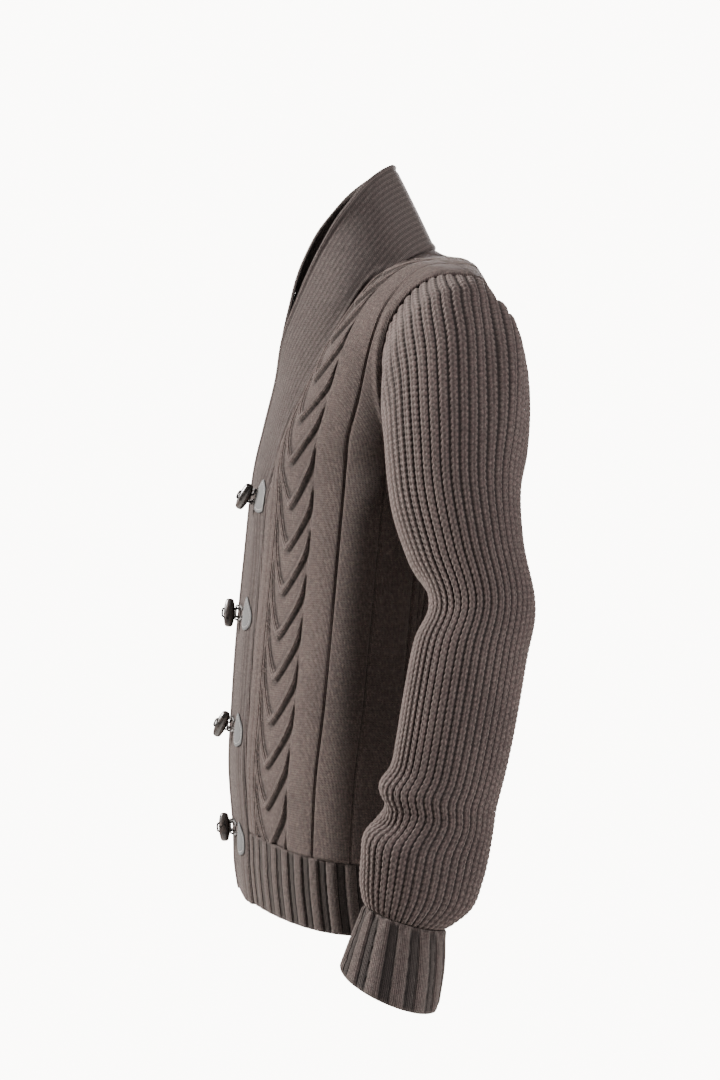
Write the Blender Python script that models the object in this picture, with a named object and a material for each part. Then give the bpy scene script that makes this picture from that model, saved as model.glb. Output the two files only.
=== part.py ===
"""Shawl collar cardigan with a cabled front, chunky ribbed sleeves and four toggles, in its worn form.

The garment faces -Y, its wearer's left is +X and Z is up. The origin is the nape: the middle of the
back neck seam, where the wearer's neck and shoulders hold the garment up. Every cloth piece is a wall
of even thickness behind its outer face. A piece is a grid of points: its rows run down the garment and
its columns run across it, so that two neighbours share the points of the seam between them.
"""

import math
from collections import namedtuple

import bmesh
import bpy
import numpy as np
from mathutils import Vector
from mathutils.bvhtree import BVHTree

# Walls and gaps, in metres
BODY_WALL = 0.003
SLEEVE_WALL = 0.004
COLLAR_WALL = 0.004
SEAM_GAP = 0.0004
ARMHOLE_GAP = 0.0008

# The torso below the arms. The left front laps over the right front.
ROUNDNESS = 2.3
LAP_LIFT = 0.0060
LAP_EDGE_X = -0.020
LAP_FROM_X, LAP_FULL_X = 0.052, 0.028

# Grid sizes
PANEL_COLUMNS = 8
BACK_COLUMNS = 24
NECK_COLUMNS = 6
COLLAR_COLUMNS = 6
ROWS_PER_SECTION = 2

# Toggles, cords and leather patches
TOGGLE_LENGTH = 0.029
TOGGLE_RADIUS = 0.0058
TOGGLE_END_RADIUS = 0.0034
TOGGLE_HOLE_SPREAD = 0.0042
TOGGLE_HOLE_RADIUS = 0.0016
TOGGLE_SIDES = 12
CORD_RADIUS = 0.001
CORD_SIDES = 6
CORD_REST = 0.0015
LOOP_OVER_CORD = 0.0042
LOOP_HALF_WIDTH = 0.0072
LOOP_REACH = 0.0085
PATCH_SIDES = 14
PATCH_HEIGHT = 0.034
PATCH_WIDTH = 0.022
PATCH_THICKNESS = 0.0014
PATCH_CLEARANCE = 0.0007
PATCH_RIGHT_X = -0.0370

# Wool, leather, horn and cord: colour, roughness
FINISHES = {
    "body_knit": ((0.105, 0.088, 0.080, 1.0), 0.95),
    "sleeve_knit": ((0.085, 0.070, 0.064, 1.0), 0.95),
    "collar_knit": ((0.095, 0.079, 0.072, 1.0), 0.95),
    "rib_knit": ((0.092, 0.077, 0.070, 1.0), 0.95),
    "leather": ((0.380, 0.375, 0.360, 1.0), 0.70),
    "horn": ((0.030, 0.020, 0.016, 1.0), 0.35),
    "cord": ((0.012, 0.011, 0.011, 1.0), 0.80),
}

# The front yoke: from the shoulder seam down to the underarm. A row runs across the left front from the
# collar seam to the armhole, as a Bezier curve of four points.
Yoke = namedtuple("Yoke", "name seam inner outer armhole")
FRONT_YOKE = [
    Yoke("shoulder", (0.072, -0.046, -0.0165), (0.125, -0.030, -0.018),
         (0.175, -0.014, -0.030), (0.222, -0.008, -0.046)),
    Yoke("shoulder front", (0.080, -0.066, -0.028), (0.125, -0.060, -0.023),
         (0.175, -0.048, -0.029), (0.218, -0.040, -0.0445)),
    Yoke("collar bone", (0.081, -0.0838, -0.0414), (0.124, -0.084, -0.034),
         (0.176, -0.076, -0.040), (0.212, -0.064, -0.057)),
    Yoke("upper chest", (0.082, -0.1002, -0.0637), (0.122, -0.106, -0.056),
         (0.172, -0.102, -0.060), (0.204, -0.079, -0.076)),
    Yoke("cap notch", (0.082, -0.1115, -0.0830), (0.118, -0.122, -0.077),
         (0.168, -0.120, -0.081), (0.197, -0.088, -0.096)),
    Yoke("high chest", (0.080, -0.1271, -0.1097), (0.114, -0.141, -0.106),
         (0.164, -0.138, -0.112), (0.190, -0.092, -0.126)),
    Yoke("mid chest", (0.075, -0.1470, -0.1490), (0.111, -0.160, -0.146),
         (0.166, -0.150, -0.155), (0.184, -0.088, -0.168)),
    Yoke("low chest", (0.066, -0.1650, -0.1860), (0.107, -0.176, -0.184),
         (0.174, -0.155, -0.194), (0.180, -0.072, -0.208)),
    Yoke("underarm", (0.0575, -0.1760, -0.2220), (0.104, -0.184, -0.221),
         (0.180, -0.160, -0.230), (0.178, -0.045, -0.236)),
]

# The back yoke, from the centre back to the armhole. Its first row is the neck seam and shoulder seam.
BACK_YOKE = [
    Yoke("blade top", (0.0, 0.010, -0.018), (0.060, 0.010, -0.008),
         (0.155, 0.006, -0.022), (0.221, 0.003, -0.052)),
    Yoke("blade", (0.0, 0.018, -0.048), (0.065, 0.017, -0.042),
         (0.160, 0.017, -0.052), (0.217, 0.011, -0.070)),
    Yoke("blade low", (0.0, 0.025, -0.078), (0.070, 0.026, -0.074),
         (0.155, 0.029, -0.082), (0.211, 0.018, -0.094)),
    Yoke("arm pit back", (0.0, 0.030, -0.110), (0.070, 0.033, -0.107),
         (0.150, 0.038, -0.112), (0.203, 0.022, -0.121)),
    Yoke("mid back", (0.0, 0.032, -0.142), (0.070, 0.037, -0.140),
         (0.150, 0.042, -0.144), (0.195, 0.018, -0.150)),
    Yoke("low blade", (0.0, 0.032, -0.175), (0.070, 0.038, -0.173),
         (0.152, 0.042, -0.177), (0.187, 0.008, -0.182)),
    Yoke("back underarm", (0.0, 0.030, -0.207), (0.070, 0.037, -0.206),
         (0.158, 0.040, -0.210), (0.181, -0.014, -0.214)),
]

# Level rings of the torso below the arms. z is given at the centre front, the sides and the centre back,
# y at the centre front, the widest place and the centre back, then where the collar seam (x) and the
# side seam (y) cross the ring.
Section = namedtuple("Section", "name z_front z_side z_back half_width y_front y_wide y_back seam_x side_y")
SECTIONS = [
    Section("chest", -0.262, -0.272, -0.275, 0.1780, -0.1885, -0.085, 0.0240, 0.0560, -0.046),
    Section("ribs", -0.325, -0.332, -0.334, 0.1755, -0.1934, -0.090, 0.0130, 0.0545, -0.050),
    Section("waist", -0.395, -0.399, -0.400, 0.1735, -0.2001, -0.095, 0.0040, 0.0530, -0.055),
    Section("low waist", -0.460, -0.463, -0.464, 0.1735, -0.2047, -0.098, 0.0010, 0.0510, -0.060),
    Section("belly", -0.528, -0.536, -0.534, 0.1745, -0.2080, -0.099, 0.0040, 0.0485, -0.064),
    Section("hem seam", -0.592, -0.612, -0.602, 0.1740, -0.2036, -0.098, 0.0060, 0.0470, -0.067),
    Section("hem rib", -0.628, -0.648, -0.637, 0.1730, -0.2024, -0.097, 0.0050, 0.0465, -0.068),
    Section("hem edge", -0.665, -0.682, -0.671, 0.1725, -0.1985, -0.096, 0.0040, 0.0460, -0.069),
]
HEM_SECTIONS = 2
# A sleeve's solid is in two from the elbow, the sixth ring from the armhole
ELBOW_RING = 6

# The collar stands up round the neck. A row gives its free edge opposite a point of the neck seam, and how
# far its lower and upper thirds bulge out from the straight line between the two. The first three rows
# have their own seam points on the back neck, and the rest take theirs from the front yoke.
Fall = namedtuple("Fall", "name edge low_bulge high_bulge")
BACK_NECK = [(0.0, 0.0, 0.0), (0.030, -0.009, -0.002), (0.053, -0.027, -0.008)]
COLLAR = [
    Fall("centre back", (0.0, -0.044, 0.088), 0.001, 0.001),
    Fall("back neck", (0.021, -0.052, 0.0855), 0.001, 0.001),
    Fall("side back", (0.038, -0.067, 0.0770), 0.002, 0.001),
    Fall("side neck", (0.050, -0.084, 0.0635), 0.003, 0.001),
    Fall("shoulder front", (0.057, -0.101, 0.0442), 0.004, 0.0),
    Fall("collar bone", (0.058, -0.1163, 0.0240), 0.005, 0.0),
    Fall("upper chest", (0.053, -0.1300, -0.0010), 0.006, 0.001),
    Fall("cap notch", (0.042, -0.1407, -0.0249), 0.006, 0.001),
    Fall("high chest", (0.028, -0.1510, -0.0530), 0.006, 0.002),
    Fall("mid chest", (0.014, -0.1636, -0.0912), 0.006, 0.003),
    Fall("low chest", (0.003, -0.1690, -0.1350), 0.005, 0.004),
    Fall("underarm", (-0.010, -0.1790, -0.1830), 0.004, 0.004),
]
# Over these sections the free edge comes down level with its seam: how much higher and further in it is
EDGE_RISE = {"chest": (0.030, 0.0055), "ribs": (0.010, 0.0012), "hem edge": (0.009, 0.0)}
NECK_AXIS_Y = -0.075

# The left sleeve: rings round the arm, below the armhole. x and z of the ring's outer and inner points,
# y of its front and back points, and how much higher than its middle the front point is.
Ring = namedtuple("Ring", "name outer_x outer_z inner_x inner_z front_y back_y front_rise")
SLEEVE = [
    Ring("cap", 0.254, -0.062, 0.1865, -0.250, -0.098, 0.041, 0.000),
    Ring("head", 0.282, -0.110, 0.1890, -0.260, -0.098, 0.041, -0.003),
    Ring("upper arm", 0.300, -0.177, 0.1940, -0.272, -0.097, 0.036, -0.006),
    Ring("bicep", 0.309, -0.240, 0.2010, -0.290, -0.092, 0.027, -0.008),
    Ring("above elbow", 0.317, -0.297, 0.2140, -0.324, -0.079, 0.027, -0.008),
    Ring("elbow", 0.325, -0.352, 0.2320, -0.362, -0.0645, 0.033, -0.002),
    Ring("below elbow", 0.331, -0.398, 0.2400, -0.401, -0.0785, 0.0257, 0.008),
    Ring("forearm", 0.335, -0.452, 0.2450, -0.450, -0.0890, 0.0154, 0.012),
    Ring("low forearm", 0.336, -0.497, 0.2480, -0.492, -0.0965, 0.0056, 0.013),
    Ring("above fold", 0.336, -0.522, 0.2490, -0.517, -0.1017, -0.001, 0.013),
    Ring("first fold", 0.337, -0.540, 0.2480, -0.532, -0.1115, -0.005, 0.012),
    Ring("fold valley", 0.336, -0.560, 0.2500, -0.552, -0.1080, -0.008, 0.012),
    Ring("second fold", 0.338, -0.584, 0.2490, -0.576, -0.1250, -0.0125, 0.013),
    Ring("blouse", 0.338, -0.605, 0.2490, -0.597, -0.1295, -0.018, 0.013),
    Ring("low blouse", 0.335, -0.630, 0.2520, -0.620, -0.1317, -0.028, 0.013),
    Ring("cuff seam", 0.328, -0.651, 0.2590, -0.642, -0.1280, -0.053, 0.0106),
]
CUFF = [
    SLEEVE[-1],
    Ring("cuff mid", 0.331, -0.687, 0.2570, -0.670, -0.1400, -0.054, 0.0135),
    Ring("cuff edge", 0.334, -0.724, 0.2550, -0.698, -0.1515, -0.0595, 0.0170),
]

# Toggles: middle (x, z), how far the middle stands off the cloth, how many degrees the lower end leans out
# and sideways, and the middle of the leather patch on the left front
Toggle = namedtuple("Toggle", "x z stand_off lean_out lean_side patch_x patch_z")
TOGGLES = [
    Toggle(0.025, -0.2545, 0.0115, 22.0, -26.0, 0.0405, -0.2545),
    Toggle(-0.004, -0.3730, 0.0115, 3.0, 0.0, 0.0320, -0.3730),
    Toggle(-0.002, -0.4865, 0.0115, 20.0, -22.0, 0.0320, -0.4905),
    Toggle(-0.004, -0.5920, 0.0110, -2.0, 0.0, 0.0300, -0.6005),
]


def smooth_step(value, low, high):
    share = np.clip((value - low) / (high - low), 0.0, 1.0)
    return share * share * (3.0 - 2.0 * share)


def spline(knots, per_span):
    """Points on a Catmull-Rom curve through the knots, each of which may be a row of points."""
    knots = np.asarray(knots, float)
    padded = np.concatenate([[2 * knots[0] - knots[1]], knots, [2 * knots[-1] - knots[-2]]])
    found = []
    for a, b, c, d in zip(padded, padded[1:], padded[2:], padded[3:]):
        for step in range(per_span):
            t = step / per_span
            cubic = (3 * b - a - 3 * c + d) * t**3
            found.append(0.5 * (2 * b + (c - a) * t + (2 * a - 5 * b + 4 * c - d) * t * t + cubic))
    return np.array(found + [knots[-1]])


def bezier(points, shares):
    a, b, c, d = (np.array(p, float) for p in points)
    t = np.asarray(shares)[:, None]
    return a * (1 - t) ** 3 + 3 * b * t * (1 - t) ** 2 + 3 * c * t * t * (1 - t) + d * t**3


def ring_point(section, angle):
    """A point of a torso ring, by its angle from the centre front towards the wearer's left."""
    power = 2.0 / ROUNDNESS
    sine, cosine = math.sin(angle), math.cos(angle)
    x = section.half_width * math.copysign(abs(sine) ** power, sine)
    front = cosine > 0
    reach = abs(cosine) ** power
    y_end = section.y_front if front else section.y_back
    z_end = section.z_front if front else section.z_back
    y = section.y_wide + (y_end - section.y_wide) * reach
    z = section.z_side + (z_end - section.z_side) * cosine * cosine
    return np.array([x, y, z])


def angle_at_x(section, x):
    share = (abs(x) / section.half_width) ** (ROUNDNESS / 2)
    return math.copysign(math.asin(share), x)


def side_angle(section):
    share = (section.side_y - section.y_wide) / (section.y_back - section.y_wide)
    return math.pi - math.acos(share ** (ROUNDNESS / 2))


def ring_row(section, first, last, columns):
    """Points evenly spaced along a torso ring, between two angles."""
    angles = np.linspace(first, last, 16 * columns + 1)
    fine = np.array([ring_point(section, a) for a in angles])
    lengths = np.linalg.norm(np.diff(fine, axis=0), axis=1)
    along = np.concatenate([[0.0], np.cumsum(lengths)])
    wanted = np.interp(np.linspace(0, along[-1], columns + 1), along, angles)
    return np.array([ring_point(section, a) for a in wanted])


def normals(grid):
    """Outward normals of a grid whose rows run down and whose columns run towards the wearer's left."""
    return unit(np.cross(np.gradient(grid, axis=0), np.gradient(grid, axis=1)))


def unit(vectors):
    return vectors / np.linalg.norm(vectors, axis=-1, keepdims=True)


def pulled_in(grid, top=0.0, bottom=0.0, first=0.0, last=0.0):
    """The grid with its edges moved in by these distances, along the surface."""
    grid = grid.copy()
    edges = (
        (top, grid[0], grid[1]),
        (bottom, grid[-1], grid[-2]),
        (first, grid[:, 0], grid[:, 1]),
        (last, grid[:, -1], grid[:, -2]),
    )
    for distance, edge, beside in edges:
        if distance:
            step = beside - edge
            edge += unit(step) * distance
    return grid


def add_object(name, points, faces, finish):
    mesh = bpy.data.meshes.new(name)
    mesh.from_pydata([tuple(p) for p in points], [], faces)
    shaped = bmesh.new()
    shaped.from_mesh(mesh)
    bmesh.ops.triangulate(shaped, faces=shaped.faces[:])
    if shaped.calc_volume(signed=True) < 0:
        bmesh.ops.reverse_faces(shaped, faces=shaped.faces[:])
    shaped.to_mesh(mesh)
    shaped.free()
    mesh.shade_smooth()
    mesh.set_sharp_from_angle(angle=math.radians(50))
    mesh.materials.append(finishes[finish])
    made = bpy.data.objects.new(name, mesh)
    bpy.context.scene.collection.objects.link(made)
    return made


def wall(name, outer, inner, finish, closed=False):
    """A solid between two grids of the same size. A closed one joins its last column to its first."""
    rows, columns = outer.shape[:2]
    count = rows * columns
    spans = columns if closed else columns - 1

    def at(row, column, layer):
        return layer * count + row * columns + column % columns

    faces = []
    for row in range(rows - 1):
        for column in range(spans):
            corners = ((row, column), (row, column + 1), (row + 1, column + 1), (row + 1, column))
            faces.append([at(r, c, 0) for r, c in reversed(corners)])
            faces.append([at(r, c, 1) for r, c in corners])
    for column in range(spans):
        for row, turn in ((0, 1), (rows - 1, -1)):
            ends = ((column, 0), (column + 1, 0), (column + 1, 1), (column, 1))
            rim = [at(row, c, layer) for c, layer in ends]
            faces.append(rim[::turn])
    if not closed:
        for row in range(rows - 1):
            for column, turn in ((0, -1), (columns - 1, 1)):
                ends = ((row, 0), (row + 1, 0), (row + 1, 1), (row, 1))
                rim = [at(r, column, layer) for r, layer in ends]
                faces.append(rim[::turn])
    points = np.concatenate([outer.reshape(-1, 3), inner.reshape(-1, 3)])
    return add_object(name, points, faces, finish)


def mirrored(grid):
    """The same grid on the wearer's right, with its columns turned round so that it still faces out."""
    return grid[:, ::-1] * np.array([-1.0, 1.0, 1.0])


def front_grid():
    """The left front with its hem, from the collar seam to the armhole and side seam."""
    shares = np.linspace(0, 1, PANEL_COLUMNS + 1)
    rows = [bezier(y[1:], shares) for y in FRONT_YOKE]
    rows += [ring_row(s, angle_at_x(s, s.seam_x), side_angle(s), PANEL_COLUMNS) for s in SECTIONS]
    return rows_between(rows, len(FRONT_YOKE) - 1)


def back_grid():
    """The left half of the back with its hem, from the centre back to the armhole and side seam."""
    half = BACK_COLUMNS // 2
    neck = spline([*BACK_NECK, FRONT_YOKE[0].seam], NECK_COLUMNS)
    picks = np.linspace(0, len(neck) - 1, half - PANEL_COLUMNS + 1).round().astype(int)
    shoulder = bezier(FRONT_YOKE[0][1:], np.linspace(0, 1, PANEL_COLUMNS + 1))
    rows = [np.concatenate([neck[picks], shoulder[1:]])]
    shares = np.linspace(0, 1, half + 1)
    rows += [bezier(y[1:], shares) for y in BACK_YOKE]
    rows += [underarm_row(half)]
    rows += [ring_row(s, math.pi, side_angle(s), half) for s in SECTIONS]
    return rows_between(rows, len(BACK_YOKE) + 1)


def underarm_row(columns):
    """The last yoke row of the back, which ends where the front's does."""
    end = FRONT_YOKE[-1].armhole
    points = ((0.0, 0.028, -0.238), (0.075, 0.036, -0.238), (0.168, 0.032, -0.240), end)
    return bezier(points, np.linspace(0, 1, columns + 1))


def rows_between(rows, yoke_spans):
    """The knot rows of the yoke as they are, and those below it with rows added between them."""
    fine = spline(rows, ROWS_PER_SECTION)
    yoke = fine[: yoke_spans * ROWS_PER_SECTION : ROWS_PER_SECTION]
    return np.concatenate([yoke, fine[yoke_spans * ROWS_PER_SECTION :]])


def collar_grid(lift):
    """One half of the collar and band, as on the wearer's left. lift is 1 on the side that laps over."""
    shares = np.linspace(0, 1, COLLAR_COLUMNS + 1)
    seams = [*BACK_NECK, *(y.seam for y in FRONT_YOKE)]
    rows = []
    for number, (fall, seam) in enumerate(zip(COLLAR, seams)):
        start, end = np.array(seam, float), np.array(fall.edge, float)
        lapped = smooth_step(number, 7, 10) * (1 - lift)
        away = (start + end) / 2 - (0, NECK_AXIS_Y, 0)
        away[2] = 0
        away /= np.linalg.norm(away)
        low = start + (end - start) / 3 + away * fall.low_bulge
        high = start + (end - start) * 2 / 3 + away * fall.high_bulge
        high[1] += lapped * LAP_LIFT
        end[1] += lapped * LAP_LIFT
        rows.append(bezier((start, low, high, end), shares))
    for section in SECTIONS:
        first, last = angle_at_x(section, section.seam_x), angle_at_x(section, LAP_EDGE_X)
        row = ring_row(section, first, last, COLLAR_COLUMNS)
        row[:, 1] -= lift * LAP_LIFT * (1 - smooth_step(row[:, 0], LAP_FULL_X, LAP_FROM_X))
        up, further_in = EDGE_RISE.get(section.name, (0.0, 0.0))
        row[:, 2] += up * shares
        row[:, 1] += further_in * shares
        rows.append(row)
    return rows_between(rows, len(COLLAR) - 1)


def armhole_ring(front, back):
    """The points of the left armhole: from the shoulder down the front to the underarm, and up the back."""
    return np.concatenate([front[: len(FRONT_YOKE), -1], back[1 : len(BACK_YOKE) + 1, -1][::-1]])


def armhole_inward(ring, front, back):
    """At each point of the armhole, which way the walls of both the body and the sleeve go in."""
    to_middle = unit(ring.mean(axis=0) - ring)
    facing_front = normals(front)[: len(FRONT_YOKE), -1]
    facing_back = -normals(back)[1 : len(BACK_YOKE) + 1, -1][::-1]
    return unit(to_middle - np.concatenate([facing_front, facing_back]))


def arm_ring(ring, count):
    """Points round the arm: from its outer side to the front, the inner side and the back."""
    outer = np.array([ring.outer_x, 0.0, ring.outer_z])
    inner = np.array([ring.inner_x, 0.0, ring.inner_z])
    middle = (outer + inner) / 2 + (0, (ring.front_y + ring.back_y) / 2, 0)
    half_across = (outer - inner) / 2
    half_deep = np.array([0.0, (ring.front_y - ring.back_y) / 2, ring.front_rise])
    turns = np.arange(count) * 2 * math.pi / count
    return middle + np.cos(turns)[:, None] * half_across + np.sin(turns)[:, None] * half_deep


def tube_wall(name, rings, first_inward, first_gap, finish):
    """Part of a sleeve, or a cuff. Its wall goes in to each ring's middle, or along first_inward at first."""
    outer = np.array(rings)
    inward = unit(outer.mean(axis=1, keepdims=True) - outer)
    if first_inward is not None:
        inward[0] = first_inward
        inward[1] = (inward[1] + first_inward) / 2
    outer = pulled_in(outer, first_gap, SEAM_GAP / 2)
    return wall(name, outer, outer + inward * SLEEVE_WALL, finish, closed=True)


def both_sides(name, outer, inner, finish):
    """A piece on the wearer's left and its mirror image on the right."""
    left = wall(f"{name}_left", outer, inner, finish)
    right = wall(f"{name}_right", mirrored(outer), mirrored(inner), finish)
    return [left, right]


def build_body():
    """Fronts, back, hems and sleeves. Returns the fronts and their hems."""
    front, back = front_grid(), back_grid()
    yoke_rows = len(FRONT_YOKE)
    back[yoke_rows - 1 :, -1] = front[yoke_rows - 1 :, -1]
    ring = armhole_ring(front, back)
    inward = armhole_inward(ring, front, back)
    gap = SEAM_GAP / 2
    cut = len(front) - HEM_SECTIONS * ROWS_PER_SECTION - 1

    into_front, into_back = -normals(front), normals(back)
    shared = into_front[0] + into_back[0, -PANEL_COLUMNS - 1 :]
    into_front[0] = into_back[0, -PANEL_COLUMNS - 1 :] = unit(shared)
    shared = into_front[:, -1] + into_back[:, -1]
    into_front[:, -1] = into_back[:, -1] = unit(shared)
    into_front[:yoke_rows, -1] = inward[:yoke_rows]
    panel = pulled_in(front[: cut + 1], gap, gap, gap, gap)
    fronts = both_sides("front", panel, panel + into_front[: cut + 1] * BODY_WALL, "body_knit")
    hem = pulled_in(front[cut:], gap, 0.0, gap, gap)
    fronts += both_sides("hem_front", hem, hem + into_front[cut:] * BODY_WALL, "rib_knit")

    into_back[:yoke_rows, -1] = np.roll(inward, -1, axis=0)[yoke_rows - 2 :][::-1]
    into_back[:, 0] = unit(into_back[:, 0] * (0, 1, 1))
    halves = (back, into_back)
    whole, into_back = (np.concatenate([mirrored(g), g[:, 1:]], axis=1)[:, ::-1] for g in halves)
    panel = pulled_in(whole[: cut + 1], gap, gap, gap, gap)
    wall("back", panel, panel + into_back[: cut + 1] * BODY_WALL, "body_knit")
    hem = pulled_in(whole[cut:], gap, 0.0, gap, gap)
    wall("hem_back", hem, hem + into_back[cut:] * BODY_WALL, "rib_knit")

    flip = np.array([-1.0, 1.0, 1.0])
    sleeve = [ring, *(arm_ring(r, len(ring)) for r in SLEEVE)]
    cuff = [arm_ring(r, len(ring)) for r in CUFF]
    for side, turn in (("left", np.ones(3)), ("right", flip)):
        rings = [r * turn for r in sleeve]
        upper, lower = rings[: ELBOW_RING + 1], rings[ELBOW_RING:]
        tube_wall(f"upper_sleeve_{side}", upper, inward * turn, ARMHOLE_GAP, "sleeve_knit")
        tube_wall(f"lower_sleeve_{side}", lower, None, gap, "sleeve_knit")
        tube_wall(f"cuff_{side}", [r * turn for r in cuff], None, gap, "rib_knit")
    return fronts


def build_collar():
    """The two halves of the shawl collar. Returns what stands at the front: the left over the right."""
    gap = SEAM_GAP / 2
    made = []
    for side, lift in (("left", 1), ("right", 0)):
        grid = collar_grid(lift)
        inward = normals(grid)
        inward[0] = unit(inward[0] * (0, 1, 1))
        grid = pulled_in(grid, gap, 0.0, gap, 0.0)
        inner = grid + inward * COLLAR_WALL
        if side == "right":
            grid, inner = mirrored(grid), mirrored(inner)
        made.append(wall(f"collar_{side}", grid, inner, "collar_knit"))
    return made


def surface_under(objects):
    """A function that gives the y of the frontmost cloth at x and z."""
    trees = []
    for made in objects:
        mesh = made.data
        corners = [v.co.copy() for v in mesh.vertices]
        trees.append(BVHTree.FromPolygons(corners, [p.vertices[:] for p in mesh.polygons]))

    def y_at(x, z):
        hits = [tree.ray_cast(Vector((x, -1.0, z)), Vector((0.0, 1.0, 0.0)))[0] for tree in trees]
        return min(hit.y for hit in hits if hit)

    return y_at


def leaf_outline(count):
    """x and z of the outline of a leather patch: a pointed top and a round foot."""
    for step in range(count):
        turn = 2 * math.pi * step / count
        height = math.cos(turn)
        width = math.sin(turn) * (1 - 0.42 * height) * (1 - 0.30 * max(height, 0.0))
        yield width * PATCH_WIDTH / 2, height * PATCH_HEIGHT / 2


def build_patch(name, x, z, y_at):
    """A leather patch that lies on the cloth."""
    count = PATCH_SIDES
    flat = [(x, z)]
    for share in (0.5, 1.0):
        flat += [(x + dx * share, z + dz * share) for dx, dz in leaf_outline(count)]
    points = []
    for away in (PATCH_CLEARANCE + PATCH_THICKNESS, PATCH_CLEARANCE):
        points += [(px, y_at(px, pz) - away, pz) for px, pz in flat]
    layer = len(flat)
    faces = []
    for i in range(count):
        j = (i + 1) % count
        a, b, c, d = 1 + i, 1 + j, 1 + count + j, 1 + count + i
        faces += [(0, a, b), (a, d, c, b)]
        faces += [(layer, layer + b, layer + a), (layer + a, layer + b, layer + c, layer + d)]
        faces.append((d, layer + d, layer + c, c))
    return add_object(name, points, faces, "leather")


def toggle_frame(toggle, y_at):
    """The middle of a toggle, its long axis down, the way across it and the way out from the cloth."""
    surface = y_at(toggle.x, toggle.z)
    middle = Vector((toggle.x, surface - toggle.stand_off, toggle.z))
    lean, side = math.radians(toggle.lean_out), math.radians(toggle.lean_side)
    axis = Vector((math.sin(side), -math.sin(lean), -math.cos(lean) * math.cos(side))).normalized()
    across = axis.cross(Vector((0.0, -1.0, 0.0))).normalized()
    out = across.cross(axis).normalized()
    return middle, axis, across, out


def build_toggle(name, toggle, y_at):
    """A barrel that tapers to both ends, with two cross holes for its cord."""
    middle, axis, across, out = toggle_frame(toggle, y_at)
    half = TOGGLE_LENGTH / 2
    profile = (
        (-half, TOGGLE_END_RADIUS),
        (-half * 0.86, TOGGLE_END_RADIUS * 1.3),
        (-half * 0.42, TOGGLE_RADIUS * 0.97),
        (0.0, TOGGLE_RADIUS),
        (half * 0.42, TOGGLE_RADIUS * 0.97),
        (half * 0.86, TOGGLE_END_RADIUS * 1.3),
        (half, TOGGLE_END_RADIUS),
    )
    points, faces = [], []
    for along, radius in profile:
        for side in range(TOGGLE_SIDES):
            turn = 2 * math.pi * side / TOGGLE_SIDES
            points.append(middle + axis * along + (across * math.cos(turn) + out * math.sin(turn)) * radius)
    for ring in range(len(profile) - 1):
        for side in range(TOGGLE_SIDES):
            a = ring * TOGGLE_SIDES + side
            b = ring * TOGGLE_SIDES + (side + 1) % TOGGLE_SIDES
            faces.append((a, b, b + TOGGLE_SIDES, a + TOGGLE_SIDES))
    faces.append(tuple(reversed(range(TOGGLE_SIDES))))
    faces.append(tuple(range(len(points) - TOGGLE_SIDES, len(points))))
    made = add_object(name, points, faces, "horn")
    for number, spread in enumerate((-TOGGLE_HOLE_SPREAD, TOGGLE_HOLE_SPREAD)):
        hole = make_tube(
            f"{name}_hole_{number}",
            [middle + axis * spread - out * 0.010, middle + axis * spread + out * 0.010],
            TOGGLE_HOLE_RADIUS,
            "horn",
        )
        hole.hide_render = True
        hole.display_type = "WIRE"
        cut = made.modifiers.new(f"hole_{number}", "BOOLEAN")
        cut.operation = "DIFFERENCE"
        cut.solver = "EXACT"
        cut.object = hole
    return made


def make_tube(name, path, radius, finish):
    """A round tube along a path of points, with flat ends."""
    path = [Vector(p) for p in path]
    ahead = [(b - a).normalized() for a, b in zip(path, path[1:])]
    tangents = [ahead[0]] + [(a + b).normalized() for a, b in zip(ahead, ahead[1:])] + [ahead[-1]]
    side = tangents[0].orthogonal().normalized()
    points, faces = [], []
    for place, tangent in zip(path, tangents):
        side = (side - tangent * side.dot(tangent)).normalized()
        other = tangent.cross(side)
        for step in range(CORD_SIDES):
            turn = 2 * math.pi * step / CORD_SIDES
            points.append(place + (side * math.cos(turn) + other * math.sin(turn)) * radius)
    for ring in range(len(path) - 1):
        for step in range(CORD_SIDES):
            a = ring * CORD_SIDES + step
            b = ring * CORD_SIDES + (step + 1) % CORD_SIDES
            faces.append((a, b, b + CORD_SIDES, a + CORD_SIDES))
    faces.append(tuple(reversed(range(CORD_SIDES))))
    faces.append(tuple(range(len(points) - CORD_SIDES, len(points))))
    return add_object(name, points, faces, finish)


def cord_path(toggle, y_at):
    """From the right patch, under the loop, through one hole of the toggle and back through the other."""
    middle, axis, _, out = toggle_frame(toggle, y_at)
    front = TOGGLE_RADIUS + CORD_RADIUS + 0.0006
    back = -TOGGLE_RADIUS - 0.0012
    start_x = PATCH_RIGHT_X + PATCH_WIDTH / 2 + 0.0022
    halves = []
    for sign in (-1, 1):
        hole = middle + axis * TOGGLE_HOLE_SPREAD * sign
        level = toggle.z - 0.0042 * sign
        lap = LAP_EDGE_X + 0.0012
        on_cloth = [
            (start_x, start_x, 0.0),
            (LAP_EDGE_X - 0.0024, lap, 0.0),
            (LAP_EDGE_X, lap, 0.0006),
            (LAP_EDGE_X + 0.0040, LAP_EDGE_X + 0.0040, 0.0003),
            (toggle.x - 0.0120, toggle.x - 0.0120, 0.0),
            (hole.x - 0.0055, hole.x - 0.0055, 0.0),
        ]
        half = [Vector((x, y_at(near, level) - CORD_REST - more, level)) for x, near, more in on_cloth]
        half += [hole + out * back, hole, hole + out * (TOGGLE_RADIUS - 0.0006)]
        half += [middle + axis * (TOGGLE_HOLE_SPREAD - 0.0011) * sign + out * front]
        halves.append(half)
    return halves[0] + halves[1][::-1]


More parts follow.
